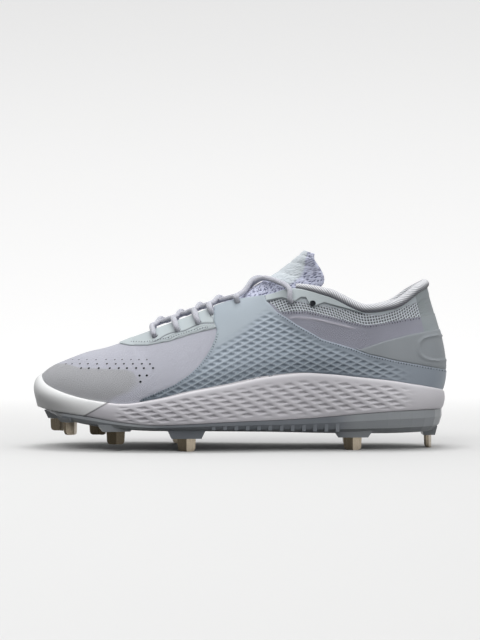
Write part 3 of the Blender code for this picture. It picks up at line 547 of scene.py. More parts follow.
def tint(red, green, blue):
    """Linear colour of a screen colour from 0 to 255."""
    channels = []
    for value in (red, green, blue):
        share = value / 255.0
        channels.append(share / 12.92 if share <= 0.04045 else ((share + 0.055) / 1.055) ** 2.4)
    return (*channels, 1.0)


VAMP = tint(198, 199, 210)
VAMP_DARK = tint(188, 190, 202)
TOE_GREY = tint(180, 181, 185)
QUARTER = tint(170, 171, 185)
QUARTER_DARK = tint(156, 157, 170)
NET_THREAD = tint(228, 234, 240)
NET_HOLE = tint(100, 103, 112)
SMOOTH_GREY = tint(192, 200, 206)
HEEL_GREY = tint(162, 170, 174)


def grain(finish, depth=0.00012):
    """Fine leather-like grain with slight cloudiness, as on coated synthetic."""
    where = finish.place()
    finish.bump(finish.noise(where, 900.0, 3.0), depth, 0.5)
    return finish.noise(where, 38.0, 3.0)


def upper_finish():
    """Vamp, toe print, quarter, net window and the smooth collar panel in one skin."""
    finish = Finish("upper_skin", roughness=0.62, sheen=0.06)
    cloud = grain(finish)
    lines = finish.wave(finish.skin(30.0, 1400.0), 1.0, "Y", 1.6, 3.0)
    vamp = finish.toned(VAMP, lines, 0.5, VAMP_DARK)
    vamp = finish.toned(vamp, cloud, 0.35, VAMP_DARK)
    finish.bump(lines, 0.00015, 0.7)
    toe = finish.times(finish.ramp(finish.value("toe_top"), -0.6, 1.4),
                       finish.ramp(finish.value("toe_rear"), 10.0, -6.0))
    skin = finish.mix(toe, vamp, TOE_GREY)
    quarter = finish.mix(cloud, QUARTER, QUARTER_DARK)
    # Painted highlight along the raised line below the net
    quarter = finish.toned(quarter, finish.value("line"), 0.8, tint(226, 222, 232))
    behind = finish.ramp(finish.value("behind_wrap"), -0.3, 0.3)
    skin = finish.mix(behind, skin, quarter)
    in_net = finish.times(finish.ramp(finish.value("net_top"), -0.2, 0.4),
                          finish.ramp(finish.value("net_low"), 0.2, -0.4))
    in_net = finish.times(in_net, behind)
    threads = [finish.ripple("COSINE", finish.skin(turn=4.0), name, NET_PITCH) for name in "XY"]
    thread = finish.ramp(finish.sums("MAXIMUM", *threads), 0.05, 0.75)
    skin = finish.mix(in_net, skin, finish.mix(thread, NET_HOLE, NET_THREAD))
    above = finish.times(finish.ramp(finish.value("net_top"), 0.2, -0.4), behind)
    skin = finish.mix(above, skin, SMOOTH_GREY)
    strip = finish.ramp(finish.value("heel_strip"), -0.5, 0.5)
    finish.bump(finish.times(thread, in_net), 0.0005, 0.9)
    finish.colour(finish.mix(strip, skin, HEEL_GREY))
    return finish.made


def lining_finish():
    finish = Finish("lining", roughness=0.9, sheen=0.3)
    where = finish.place()
    weave = finish.sums("MAXIMUM", finish.wave(where, 420.0, "X"), finish.wave(where, 420.0, "Z"))
    finish.bump(weave, 0.0003, 0.6)
    finish.colour(finish.mix(weave, tint(120, 123, 134), tint(176, 180, 188)))
    return finish.made


def wrap_finish():
    finish = Finish("wrap_skin", roughness=0.5, coat=0.08)
    cloud = grain(finish, 0.00008)
    # Painted shade: the skin darkens below the smooth field, and more near the sole where it curves
    # under
    lower = finish.ramp(finish.value("smooth_low"), -6.0, 10.0)
    skin = finish.mix(lower, tint(164, 175, 184), tint(153, 164, 176))
    sole_shade = finish.ramp(finish.value("near_sole"), 26.0, 2.0)
    skin = finish.mix(sole_shade, skin, tint(100, 111, 122))
    # Painted shade: darker towards the heel
    rear = finish.ramp(finish.value("rearward"), 0.0, 1.0)
    skin = finish.mix(rear, skin, tint(146, 155, 166))
    # Painted highlight on the ridges between the diamonds
    skin = finish.toned(skin, finish.value("ridge"), 0.45, tint(202, 212, 222))
    skin = finish.toned(skin, finish.value("shade"), 0.5, tint(92, 104, 116))
    finish.colour(finish.toned(skin, cloud, 0.18, tint(140, 150, 160)))
    finish.rough(cloud, 0.42, 0.58)
    return finish.made


def stay_finish():
    finish = Finish("stay_skin", roughness=0.55)
    skin = finish.toned(tint(187, 196, 199), grain(finish), 0.5, tint(176, 185, 188))
    # Painted shade in the sunk grooves and contour lines
    finish.colour(finish.mix(finish.value("groove"), skin, tint(96, 100, 108)))
    return finish.made


def counter_finish():
    finish = Finish("counter_skin", roughness=0.55)
    finish.colour(finish.mix(grain(finish), tint(150, 155, 160), tint(138, 144, 149)))
    return finish.made


def moulded(name, cloud_scale, grain_scale, depth, strength, **looks):
    """A moulded material: its finish, its cloudiness and its fine grain as bump."""
    finish = Finish(name, **looks)
    where = finish.place()
    finish.bump(finish.noise(where, grain_scale, 2.0), depth, strength)
    return finish, where, finish.noise(where, cloud_scale, 4.0)


def foam_finish():
    finish, where, cloud = moulded("midsole_foam", 60.0, 1300.0, 0.00008, 0.5, roughness=0.55)
    skin = finish.mix(cloud, tint(205, 203, 208), tint(195, 193, 199))
    # Painted light: the foam lighter towards the heel
    rear = finish.ramp(finish.axis(where, "X"), 0.05, 0.13)
    skin = finish.mix(rear, skin, tint(214, 212, 217))
    skin = finish.toned(skin, finish.value("shade"), 0.32, tint(112, 110, 116))
    # Painted highlight along the foam's top edge
    skin = finish.toned(skin, finish.value("lip"), 0.7, tint(236, 234, 238))
    finish.colour(finish.mix(finish.value("seam"), skin, tint(96, 96, 100)))
    finish.rough(cloud, 0.48, 0.62)
    return finish.made


def rubber_finish():
    finish, _, cloud = moulded("bumper_rubber", 45.0, 1200.0, 0.0001, 0.5, roughness=0.58)
    skin = finish.mix(cloud, tint(236, 237, 237), tint(228, 229, 230))
    # Painted highlight along the bumper's top edge
    skin = finish.toned(skin, finish.value("lip"), 0.5, tint(236, 236, 237))
    finish.colour(finish.mix(finish.value("seam"), skin, tint(110, 110, 112)))
    return finish.made


def plate_finish():
    finish, where, cloud = moulded("plate_plastic", 55.0, 1500.0, 0.00006, 0.4,
                                   roughness=0.42, coat=0.15)
    skin = finish.mix(cloud, tint(116, 121, 127), tint(102, 107, 114))
    # Painted light: lighter towards both ends, the arch between them in painted shade
    for start, end in ((0.062, 0.085), (-0.050, -0.075)):
        ends = finish.ramp(finish.axis(where, "X"), start, end)
        skin = finish.mix(ends, skin, tint(148, 152, 156))
    finish.colour(skin)
    finish.rough(cloud, 0.34, 0.5)
    return finish.made


def steel_finish():
    """Brushed steel, with painted shade on facets that face the toe and on the front spikes."""
    finish = Finish("spike_steel", roughness=0.28, metallic=1.0)
    where = finish.place()
    scratch = finish.noise(finish.mapped(where, (2600.0, 2600.0, 120.0)), 1.0)
    finish.bump(scratch, 0.00003, 0.5)
    steel = finish.mix(scratch, tint(196, 184, 166), tint(150, 138, 120))
    # Painted shade and reflection: facets that face the toe are darker
    facing = finish.node("ShaderNodeTexCoord").outputs["Normal"]
    toe_facing_shade = finish.ramp(finish.axis(facing, "X"), 0.15, -0.25)
    steel = finish.toned(steel, toe_facing_shade, 0.8, tint(62, 55, 42))
    # Painted shade: the front spikes darker
    length = finish.axis(where, "X")
    front = finish.times(finish.ramp(length, -0.070, -0.078),
                         finish.ramp(length, -0.116, -0.110))
    finish.colour(finish.toned(steel, front, 0.85, tint(58, 52, 40)))
    finish.rough(scratch, 0.20, 0.38)
    return finish.made


def knit_finish(name, light, dark, pitch, turn=0.0, round_cord=False):
    """Knitted cloth: fine ribs across loops along the surface, or ribs alone that
    wind round a cord, with painted shade underneath."""
    finish = Finish(name, roughness=0.88, sheen=0.35)
    flat = finish.skin(turn=turn)
    crossed = finish.ripple("SINE", flat, "X", pitch)
    if not round_cord:
        crossed = finish.times(crossed, finish.ripple("SINE", flat, "Y", pitch * 0.7))
    loop = finish.sums("MULTIPLY_ADD", crossed, 0.5, 0.5)
    speck = finish.noise(finish.place(), 700.0)
    blend = finish.sums("MULTIPLY_ADD", loop, 0.6, finish.times(speck, 0.4))
    finish.bump(blend, 0.0005, 0.9)
    cloth = finish.mix(finish.ramp(blend, 0.25, 0.75), dark, light)
    if round_cord:
        # Painted shade on the cord's underside
        angle = finish.sums("DIVIDE", finish.axis(finish.skin(), "Y"), ROLL_RADIUS * 0.96)
        under = finish.ramp(finish.sums("COSINE", angle), 0.45, -0.5)
        cloth = finish.toned(cloth, under, 0.8, tint(98, 100, 110))
    finish.colour(cloth)
    return finish.made


def lace_finish():
    finish = Finish("lace_cord", roughness=0.8, sheen=0.3)
    strands = [finish.wave(finish.skin(900.0, 900.0, turn), 1.0) for turn in (35.0, -35.0)]
    braid = finish.sums("MAXIMUM", *strands)
    finish.bump(braid, 0.00025, 0.7)
    finish.colour(finish.mix(braid, tint(150, 152, 166), tint(222, 223, 232)))
    return finish.made


def plain_finish(name, colour, roughness):
    finish = Finish(name, roughness=roughness)
    cloud = finish.noise(finish.place(), 400.0, 2.0)
    finish.colour(finish.mix(cloud, colour, tuple(value * 0.85 for value in colour[:3]) + (1.0,)))
    return finish.made


# Upper


def quarter_line(across, down, width):
    """Strength of the raised line below the net, for its width in pixels."""
    along = ease(across, 286.0, 292.0) * (1.0 - ease(across, 346.0, 360.0))
    return np.exp(-(below(across, down, QUARTER_LINE) / width) ** 2) * along


def behind_strip(across, down):
    """Pixels that a place lies behind the heel strip's edge."""
    edge, level, lean = STRIP_EDGE
    return across - (edge + lean * (down - level))


def upper_values(points):
    """What the upper's material needs to know at each point."""
    across, down = photo_place(points)
    behind = -below(across, down, WRAP_REAR)
    return {
        "toe_top": below(across, down, TOE_TOP),
        "toe_rear": across - np.interp(down, *np.array(TOE_REAR).T),
        "behind_wrap": np.where(across > NET_START, behind, -9.0),
        # line: strength of the painted highlight along the raised line
        "line": quarter_line(across, down, 0.8),
        "net_low": below(across, down, NET_LOW),
        "net_top": below(across, down, NET_TOP),
        "heel_strip": behind_strip(across, down),
    }


def behind_front(across, down):
    """Pixels that a place lies behind the wrap's front edge."""
    front = np.array(WRAP_FRONT)[::-1]
    return across - np.interp(down, front[:, 1], front[:, 0])


def under_rear(across, down):
    """Pixels that a place lies under the wrap's rear edge, many ahead of it."""
    return np.where(across > WRAP_REAR_START, below(across, down, WRAP_REAR), 99.0)


def quarter_relief(points):
    """Raised line below the net and the heel strip's edge; under the wrap the skin
    lies deeper."""
    across, down = photo_place(points)
    ridge = quarter_line(across, down, 0.9)
    strip = ease(behind_strip(across, down), -0.5, 0.8)
    net = np.minimum(below(across, down, NET_TOP), -below(across, down, NET_LOW))
    sunk = ease(net, 0.0, 1.2) * (across > NET_START)
    covered = np.minimum(behind_front(across, down), under_rear(across, down))
    covered = ease(covered, 2.0, 4.0)
    visible = 0.0005 * ridge + 0.0004 * strip - 0.0003 * sunk
    return visible * (1.0 - covered) - 0.0009 * covered


def build_upper(finish, lining):
    at = np.arange(0.0, TURN, 1.0 / 14.0)
    up = np.concatenate([np.linspace(0.0, 0.35, 16)[:-1], np.linspace(0.35, 1.0, 52)])
    places, heights = np.meshgrid(at, up, indexing="ij")
    flat = last_surface(places, heights)
    points = last_surface(places, heights, quarter_relief(flat))
    lengths = surface_lengths(points)
    skin = mesh_piece("upper_skin", points, grid_faces(*places.shape, closed=True), finish,
                      upper_values(points), lengths)
    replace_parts(skin, "upper")
    inner = last_surface(places[::2], heights[::2], -UPPER_WALL)
    rim = np.concatenate([inner, last_surface(at[::2], 1.0, 0.0)[:, None]], axis=1)
    faces = [face[::-1] for face in grid_faces(*rim.shape[:2], closed=True)]
    mesh_piece("upper_lining", rim, faces, lining)


def hole_places(used):
    """Ring place and height share of the lace holes on both sides."""
    at, up = np.meshgrid(np.arange(0.0, HEEL_RIB + 0.01, 0.05), np.linspace(0.0, 1.0, 101),
                         indexing="ij")
    holes = []
    for x, z in EYELETS[:used]:
        pair = []
        for side in (-1, 1):
            place = last_place(at if side < 0 else TURN - at, up)
            miss = (place[..., 0] - x * LENGTH) ** 2
            miss += (place[..., 2] - TREAD - z * INSTEP_HEIGHT) ** 2
            best = np.unravel_index(np.argmin(miss), miss.shape)
            pair.append((at[best] if side < 0 else TURN - at[best], up[best]))
        holes.append(pair)
    return holes


HOLES = hole_places(len(EYELETS))


def open_holes(points, faces):
    """Cuts round lace holes in a fine grid: near points move out to the rim and
    the faces inside are dropped."""
    flat = points.reshape(-1, 3)
    drop = np.zeros(len(flat), bool)
    for pair in HOLES:
        for at, up in pair:
            centre = last_surface(at, up)
            axis = last_surface(at, up, 1.0) - centre
            away = flat - centre
            height = away @ axis
            away = away - height[:, None] * axis
            far = np.linalg.norm(away, axis=-1)
            near = (far < EYELET_RADIUS) & (np.abs(height) < HOLE_REACH)
            inside = near & (far < 0.62 * EYELET_RADIUS)
            edge = near & ~inside
            flat[edge] += away[edge] * (EYELET_RADIUS / far[edge] - 1.0)[:, None]
            drop |= inside
    return [face for face in faces if not any(drop[corner] for corner in face)]


def rim_faces(faces, count):
    """Faces from the open rim of a sheet to its copy stored count points further on."""
    uses = {}
    for face in faces:
        for edge in zip(face, face[1:] + face[:1]):
            uses.setdefault(frozenset(edge), []).append(edge)
    rims = [edges[0] for edges in uses.values() if len(edges) == 1]
    return [(end, start, count + start, count + end) for start, end in rims]


def panel(name, at, low, high, rows, relief, finish, holes=False):
    """Fine panel over the upper with its own edges and relief, rim included."""
    share = np.linspace(0.0, 1.0, rows)
    up = np.minimum(low[:, None] * (1.0 - share) + high.max() * share, high[:, None])
    places = np.broadcast_to(at[:, None], up.shape)
    height, values = relief(last_surface(places, up, OVERLAY))
    rim = np.minimum(up - low[:, None], high[:, None] - up)
    soft = ease(rim, 0.0, 0.010) * 0.4 + 0.6
    points = last_surface(places, up, OVERLAY * soft + height)
    base = last_surface(places, up, -PANEL_ROOT)
    faces = grid_faces(*places.shape)
    if holes:
        faces = open_holes(points, faces)
        open_holes(base, [])
    faces += rim_faces(faces, up.size)
    values = {label: np.tile(value.ravel(), 2) for label, value in values.items()}
    both = np.concatenate([points.reshape(-1, 3), base.reshape(-1, 3)])
    lengths = np.tile(surface_lengths(points).reshape(-1, 2), (2, 1))
    return mesh_piece(name, both, faces, finish, values, lengths)


def lattice(across, down, families):
    """Depth from 0 on the ridges to 1 in the middle of a dent, for two families
    of ridges, each with its slope and its pitch downwards, and a share that is 1
    in the dent's upper half."""
    shares = []
    for slope, pitch in families:
        value = (down - slope * across) / pitch
        shares.append(value - np.floor(value))
    near = [0.5 - np.abs(share - 0.5) for share in shares]
    upper = ease(1.0 - shares[0] - shares[1], -0.2, 0.5)
    return np.clip(2.0 * np.minimum(*near), 0.0, 1.0), upper


def wrap_relief(flat):
    across, down = photo_place(flat)
    dent, upper = lattice(across, down, WRAP_RIDGES)
    lower = ease(below(across, down, SMOOTH_LOW), -3.0, 12.0)
    rear = ease(below(across, down, WRAP_REAR), 3.0, 10.0)
    front = ease(behind_front(across, down), 2.0, 9.0)
    fade = 1.0 - ease(across, 380.0, 415.0)
    above_sole = -below(across, down, SOLE_EDGE)
    strength = lower * rear * front * fade * ease(above_sole, 0.5, 4.0)
    depth = np.clip((dent - 0.10) / 0.75, 0.0, 1.0) * strength
    tucked = (OVERLAY - PANEL_ROOT) * (1.0 - ease(above_sole, -0.5, 2.5))
    return PANEL_ROOT - DIAMOND_DEPTH * depth - tucked, {
        # ridge places the painted highlight on the ridges
        "ridge": (1.0 - ease(dent, 0.0, 0.3)) * strength,
        "shade": upper * ease(depth, 0.05, 0.6),
        # smooth_low, near_sole and rearward place the painted shade low down and at the rear
        "smooth_low": below(across, down, SMOOTH_LOW),
        "near_sole": above_sole,
        "rearward": ease(across, 300.0, 420.0),
    }


def seen_over(at, steps):
    """Height shares, and where the photograph shows each rib's overlay at them."""
    up = np.linspace(0.0, 1.0, steps)
    places, heights = np.meshgrid(at, up, indexing="ij")
    return up, *photo_place(last_surface(places, heights, OVERLAY))


def find_up(at, outline):
    """Height share where each rib crosses an outline of the photograph: 0 where the
    whole rib lies above it, 1 where none does."""
    up, across, down = seen_over(at, 161)
    shares = []
    for row in below(across, down, outline):
        above = np.nonzero(row < 0)[0]
        if len(above) == 0:
            shares.append(1.0)
        elif above[0] == 0:
            shares.append(0.0)
        else:
            first = above[0]
            low, high = row[first - 1], row[first]
            shares.append(up[first - 1] + (up[first] - up[first - 1]) * low / (low - high))
    return np.array(shares)


def edge_share(at):
    """How far up each rib the sidewall's edge lies."""
    up = np.linspace(0.0, 0.9, 91)
    shares = []
    for place, height in zip(at, track("edge", at)):
        rib = last_place(np.full_like(up, place), up)
        shares.append(np.interp(height, rib[:, 2], up))
    return np.array(shares)


def wrap_top(at):
    """Height share of the midfoot wrap's upper edge on each rib."""
    up, across, down = seen_over(at, 241)
    inside = (behind_front(across, down) > 0) & (under_rear(across, down) > 0)
    hits = [np.nonzero(row)[0] for row in inside]
    return np.array([up[hit[-1]] if len(hit) else 0.0 for hit in hits])


def build_wrap(finish):
    at = np.arange(WRAP_START, TURN - WRAP_START + 0.001, 1.0 / 24.0)
    low = edge_share(at) - 0.01
    high = np.clip(wrap_top(at), low + LEAST_PANEL, 1.0)
    wrap = panel("midfoot_wrap_skin", at, low, high, 112, wrap_relief, finish, holes=True)
    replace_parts(wrap, "midfoot_wrap")


def counter_relief(flat):
    """Moulded oval frame round a bare field on the heel."""
    across, down = photo_place(flat)
    dx = (across - BADGE_PLACE[0]) / BADGE_HALF[0]
    dy = (down - BADGE_PLACE[1]) / BADGE_HALF[1]
    oval = (np.abs(dx) ** 2.6 + np.abs(dy) ** 2.6) ** (1.0 / 2.6)
    frame_line = np.exp(-((oval - 1.0) / 0.075) ** 2)
    field = 1.0 - ease(oval, 0.9, 1.0)
    return 0.0007 * frame_line - 0.0002 * field, {}


def build_counter(finish):
    at = np.arange(COUNTER_START, TURN - COUNTER_START + 0.001, 1.0 / 20.0)
    low = wrap_top(at) + 0.004
    high = np.maximum(find_up(at, COUNTER_TOP), low + LEAST_PANEL)
    counter = panel("heel_counter_skin", at, low, high, 30, counter_relief, finish)
    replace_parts(counter, "heel_counter")


def eyestay_relief(flat):
    """A groove under the smooth field and wavy contour lines down to the seam."""
    across, down = photo_place(flat)
    from_low = -below(across, down, EYESTAY_LOW)
    field = 6.2 + 1.3 * np.sin(across / 5.1) - 3.6 * (1.0 - ease(across, 150.0, 176.0))
    groove = np.exp(-((from_low - field) / 0.55) ** 2) * ease(across, 146.0, 156.0)
    wavy = from_low + 0.9 * np.sin(across / 4.3 + 0.4 * from_low)
    lines = 0.5 + 0.5 * np.cos(2.0 * math.pi * wavy / 1.9)
    band = ease(field - from_low, 0.6, 1.4) * ease(across, 140.0, 158.0)
    lines = lines ** 2 * band
    # groove: painted shade in the sunk groove and contour lines
    return -0.0005 * groove - 0.00025 * lines, {"groove": np.clip(groove + 0.55 * lines, 0, 1)}


def build_eyestay(finish):
    for name, side in (("eyestay_skin_outer", -1), ("eyestay_skin_inner", 1)):
        near = np.arange(*EYESTAY_SPAN, 1.0 / 30.0)
        at = near if side < 0 else TURN - near
        low = find_up(at, EYESTAY_LOW)
        under_wrap = np.maximum(low, wrap_top(at) - PANEL_LAP)
        low = np.where(near > EYESTAY_MEETS_WRAP, under_wrap, low)
        keep = low < 0.992
        stay = panel(name, at[keep], low[keep], np.ones(keep.sum()), 40, eyestay_relief, finish,
                     holes=True)
        if side < 0:
            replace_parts(stay, "eyestay")


def stay_relief(flat):
    across, down = photo_place(flat)
    from_low = -below(across, down, STAY_LOW)
    groove = np.exp(-((from_low - 0.4) / 0.5) ** 2)
    # groove: painted shade in the sunk groove
    return -0.0003 * groove, {"groove": 0.8 * groove}


def build_stays(finish):
    for name, side, node in (("collar_stay_skin_outer", -1, "collar_stay_outer"),
                             ("collar_stay_skin_inner", 1, "collar_stay_inner")):
        near = np.arange(*STAY_SPAN, 1.0 / 30.0)
        at = near if side < 0 else TURN - near
        low = np.maximum(find_up(at, STAY_LOW), wrap_top(at) - PANEL_LAP)
        keep = low < 0.985
        stay = panel(name, at[keep], low[keep], np.full(keep.sum(), 0.998), 30, stay_relief,
                     finish, holes=True)
        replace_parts(stay, node)


def frames_of(path):
    """Two directions square to a path at each of its points."""
    heading = np.gradient(path, axis=0)
    heading /= np.linalg.norm(heading, axis=-1, keepdims=True)
    normal = np.array([0.0, 0.0, 1.0])
    normals = []
    for step in heading:
        normal = normal - step * (normal @ step)
        normal /= np.linalg.norm(normal)
        normals.append(normal)
    normals = np.array(normals)
    return normals, np.cross(heading, normals)


def tube(name, path, radii, finish, sides=14):
    """A round cord along a path, closed by flat ends."""
    path = np.asarray(path)
    normals, across = frames_of(path)
    turn = np.linspace(0.0, 2.0 * math.pi, sides, endpoint=False)
    spokes = (np.cos(turn)[None, :, None] * normals[:, None, :]
              + np.sin(turn)[None, :, None] * across[:, None, :])
    points = path[:, None] + spokes * np.asarray(radii)[:, None, None]
    length = np.concatenate([[0.0], np.cumsum(np.linalg.norm(np.diff(path, axis=0), axis=-1))])
    count = len(path)
    faces = []
    for place in range(count - 1):
        for corner in range(sides):
            after = (corner + 1) % sides
            faces.append((place * sides + corner, place * sides + after,
                          (place + 1) * sides + after, (place + 1) * sides + corner))
    faces.append(tuple(range(sides))[::-1])
    faces.append(tuple(range((count - 1) * sides, count * sides)))
    girth = turn * float(np.mean(radii))
    lengths = np.stack(np.broadcast_arrays(length[:, None], girth[None, :]), -1)
    return mesh_piece(name, points, faces, finish, stretch=lengths, angle=60)


def smooth_path(route, steps):
    """Points of a smooth curve through a route's own points."""
    route = np.array(route)
    padded = np.concatenate([[2 * route[0] - route[1]], route, [2 * route[-1] - route[-2]]])
    curve = []
    for place in range(1, len(padded) - 2):
        before, start, end, after = padded[place - 1:place + 3]
        for step in range(steps):
            share = step / steps
            bend = (2 * before - 5 * start + 4 * end - after) * share
            turn = (3 * start - before - 3 * end + after) * share * share
            curve.append(start + 0.5 * share * (end - before + bend + turn))
    return np.array(curve + [route[-1]])


def build_roll(finish):
    start = HEEL_RIB - len(COLLAR_RIBS) + 0.1
    at = np.linspace(start, TURN - start, 260)
    edge = last_surface(at, np.ones_like(at), -UPPER_WALL / 2)
    lower = last_surface(at, np.full_like(at, 0.97), -UPPER_WALL / 2)
    rising = edge - lower
    rising /= np.linalg.norm(rising, axis=-1, keepdims=True)
    grow = np.clip((np.minimum(at, TURN - at) - start) / 1.0, 0.0, 1.0)
    radii = ROLL_RADIUS * (0.6 + 0.4 * grow)
    path = edge + rising * (radii * 0.95)[:, None]
    roll = tube("collar_roll_knit", path, radii, finish, 28)
    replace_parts(roll, "collar_roll")


# Tongue


def tongue_track(name, at):
    """Smooth curve along one column of the tongue's table."""
    values = np.array([row[TONGUE.index(name)] for row in TONGUE_ROWS], float)
    return periodic_track(np.concatenate([values, values[::-1]]), at)


def tongue_face(along, across):
    """Outer face of the tongue: along in rows of its table, across from -1 to 1."""
    x, z, half, back, drop, wrap = (tongue_track(name, along) for name in TONGUE[:-1])
    wrap = np.radians(wrap)
    turn = wrap * across
    bow = (1.0 - np.cos(turn)) / (1.0 - np.cos(wrap))
    middle = np.interp(x, (-0.25, 0.15), (0.022, 0.0))
    width = (middle + half * np.sin(turn) / np.sin(wrap)) * BALL_WIDTH
    return np.stack([(x + back * bow) * LENGTH, width + CENTRE_Y,
                     TREAD + (z - drop * bow) * INSTEP_HEIGHT], -1)


def build_tongue(finish):
    last = len(TONGUE_ROWS) - 1.0
    along, across = np.meshgrid(np.linspace(0.0, last, 150), np.linspace(-1.0, 1.0, 70),
                                indexing="ij")
    along = along - 0.40 * np.abs(across) ** 5 * ease(along, last - 1.0, last)
    small = 0.01
    outer = tongue_face(along, across)
    length = (tongue_face(np.minimum(along + small, last), across)
              - tongue_face(np.maximum(along - small, 0.0), across))
    width = tongue_face(along, across + small) - tongue_face(along, across - small)
    square = np.cross(length, width)
    square /= np.linalg.norm(square, axis=-1, keepdims=True)
    thick = tongue_track("thick", along)
    rim = 1.0 - np.maximum(np.abs(across), ease(along, last - 0.6, last)) ** 8
    half = thick * 0.5 * np.sqrt(np.clip(rim, 0.0, 1.0))
    middle = outer - square * (thick * 0.5)[..., None]
    channel = 0.5 + 0.5 * np.cos(2.0 * math.pi * (along - 4.4) / 0.62)
    channel = channel ** 6 * ease(along, 3.6, 4.4) * (1.0 - ease(along, 6.2, 6.6))
    seams = 0.0004 * channel * (1.0 - ease(np.abs(across), 0.75, 0.95))
    top = middle + square * (half - seams)[..., None]
    under = middle - square * half[..., None]
    points = np.concatenate([top.reshape(-1, 3), under.reshape(-1, 3)])
    top_count = along.size
    faces = grid_faces(*along.shape)
    skin = faces + [tuple(top_count + corner for corner in face[::-1]) for face in faces]
    skin += rim_faces(faces, top_count)
    lengths = surface_lengths(top).reshape(-1, 2)
    values = {"tab": np.tile(along.ravel(), 2), "across": np.tile(across.ravel(), 2)}
    tongue = mesh_piece("tongue_pad", points, skin, finish, values, np.tile(lengths, (2, 1)))
    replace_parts(tongue, "tongue")


def tongue_finish():
    """Open knit on the sides and back, a smooth pale band at the top's front."""
    finish = Finish("tongue_knit", roughness=0.85, sheen=0.3)
    cell = finish.filled("ShaderNodeTexVoronoi", {"Vector": finish.skin(1.0, 1.3, 30.0),
                                                  "Scale": 560.0}).outputs["Distance"]
    finish.bump(cell, 0.0005, 0.9)
    knit = finish.mix(finish.ramp(cell, 0.2, 0.6), tint(84, 88, 118), tint(198, 202, 222))
    sides = finish.ramp(finish.sums("ABSOLUTE", finish.value("across")), 0.62, 0.70)
    smooth = finish.mix(finish.noise(finish.place(), 300.0), tint(212, 219, 224), tint(198, 206, 212))
    low = finish.ramp(finish.value("tab"), 4.4, 4.6)
    front = finish.times(finish.sums("SUBTRACT", 1.0, sides), low)
    finish.colour(finish.mix(front, knit, smooth))
    return finish.made


# Laces


def strand_route(start, end, side, rise):
    """One run of the lace: up through its hole on one side, over the tongue, and
    down into the next hole on the other side."""
    clear = OVERLAY + 0.0006 + LACE_RADIUS
    ends = []
    for hole, which in ((start, side), (end, -side)):
        at, up = HOLES[hole][0 if which < 0 else 1]
        into = last_surface(at, up, -0.0030)
        lip = last_surface(at, min(up + 0.012, 0.99), clear * 0.92)
        over = last_surface(at, 1.0, clear)
        ends.append([into, lip, over])
    along = np.linspace(0.0, len(TONGUE_ROWS) - 1.0, 200)
    centre = tongue_face(along, np.zeros_like(along))
    middle = []
    for share in (0.3, 0.5, 0.7):
        chord = ends[0][2] * (1.0 - share) + ends[1][2] * share
        chord[0] = ends[0][2][0] + (ends[1][2][0] - ends[0][2][0]) * share ** 1.5
        row = np.interp(chord[0], centre[:, 0], along)
        face = tongue_face(row, side * (1.0 - 2.0 * share) * 0.9)
        height = max(face[2] + LACE_RADIUS + 0.0008, chord[2])
        middle.append(np.array([chord[0], face[1], height + rise * (share == 0.5)]))
    return [*ends[0], *middle, *ends[1][::-1]]


def lace_run(name, finish, *run):
    path = smooth_path(strand_route(*run), 9)
    return tube(name, path, np.full(len(path), LACE_RADIUS), finish)


def build_laces(finish):
    for hole in range(LACED_HOLES - 1):
        lace_run(f"lace_outer_{hole + 1}", finish, hole, hole + 1, -1, 0.0026)
        lace_run(f"lace_inner_{hole + 1}", finish, hole, hole + 1, 1, 0.0)
    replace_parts(lace_run("lace_bar", finish, 0, 0, -1, 0.0), "laces")


def build_eyelet_rims(dark):
    """A thin dark disc of painted shade at the bottom of every lace hole."""
    for number, pair in enumerate(HOLES):
        for (at, up), which in zip(pair, ("outer", "inner")):
            centre = last_surface(at, up, 0.0002)
            axis = last_surface(at, up, 1.0) - last_surface(at, up)
            path = [centre, centre + axis * 0.0002]
            tube(f"eyelet_{which}_{number + 1}", path, [EYELET_RADIUS * 1.02] * 2, dark, 20)


# Small holes and stitches


OUTER_AT, OUTER_UP = np.meshgrid(np.arange(0.0, HEEL_RIB + 0.01, 0.02),
                                 np.linspace(0.0, 1.0, 401), indexing="ij")
OUTER_SEEN = photo_place(last_place(OUTER_AT, OUTER_UP))


def find_photo(across, down):
    """Ring place and height share of the outer surface seen at a pixel."""
    miss = (OUTER_SEEN[0] - across) ** 2 + (OUTER_SEEN[1] - down) ** 2
    best = np.unravel_index(np.argmin(miss), miss.shape)
    return OUTER_AT[best], OUTER_UP[best]


def discs(name, places, radius, lift, finish, sides=10):
    """Small flat discs on the last at several ring places."""
    points, faces = [], []
    turn = np.linspace(0.0, 2.0 * math.pi, sides, endpoint=False)
    for at, up in places:
        centre = last_surface(at, up, lift)
        axis = last_surface(at, up, 1.0) - last_surface(at, up)
        side = np.cross(axis, [0.0, 0.0, 1.0])
        side /= np.linalg.norm(side)
        other = np.cross(axis, side)
        first = len(points)
        for angle in turn:
            points.append(centre + radius * (np.cos(angle) * side + np.sin(angle) * other))
        faces.append(tuple(range(first, first + sides))[::-1])
    return mesh_piece(name, points, faces, finish)


def build_pierced(dark):
    for number, (down, radius, row) in enumerate(PIERCED_ROWS):
        places = []
        for across in row:
            at, up = find_photo(across, down)
            places += [(at, up), (TURN - at, up)]
        # Dark discs of painted shade where the vamp's breathing holes are
        discs(f"vamp_hole_shade_{number + 1}", places, radius, PIERCED_LIFT, dark)


STITCH_PITCH = 2.7         # pixels of the photograph
STITCH_LENGTH = 0.9
STITCH_LIFT = 0.0004
STITCH_WIDTH = 0.0014      # metres
STITCH_RISE = 0.0002       # its middle over its ends
STITCH_CREST = 0.00012     # its crest over its middle
PIERCED_LIFT = 0.00022     # the dark discs of the vamp's holes over the last


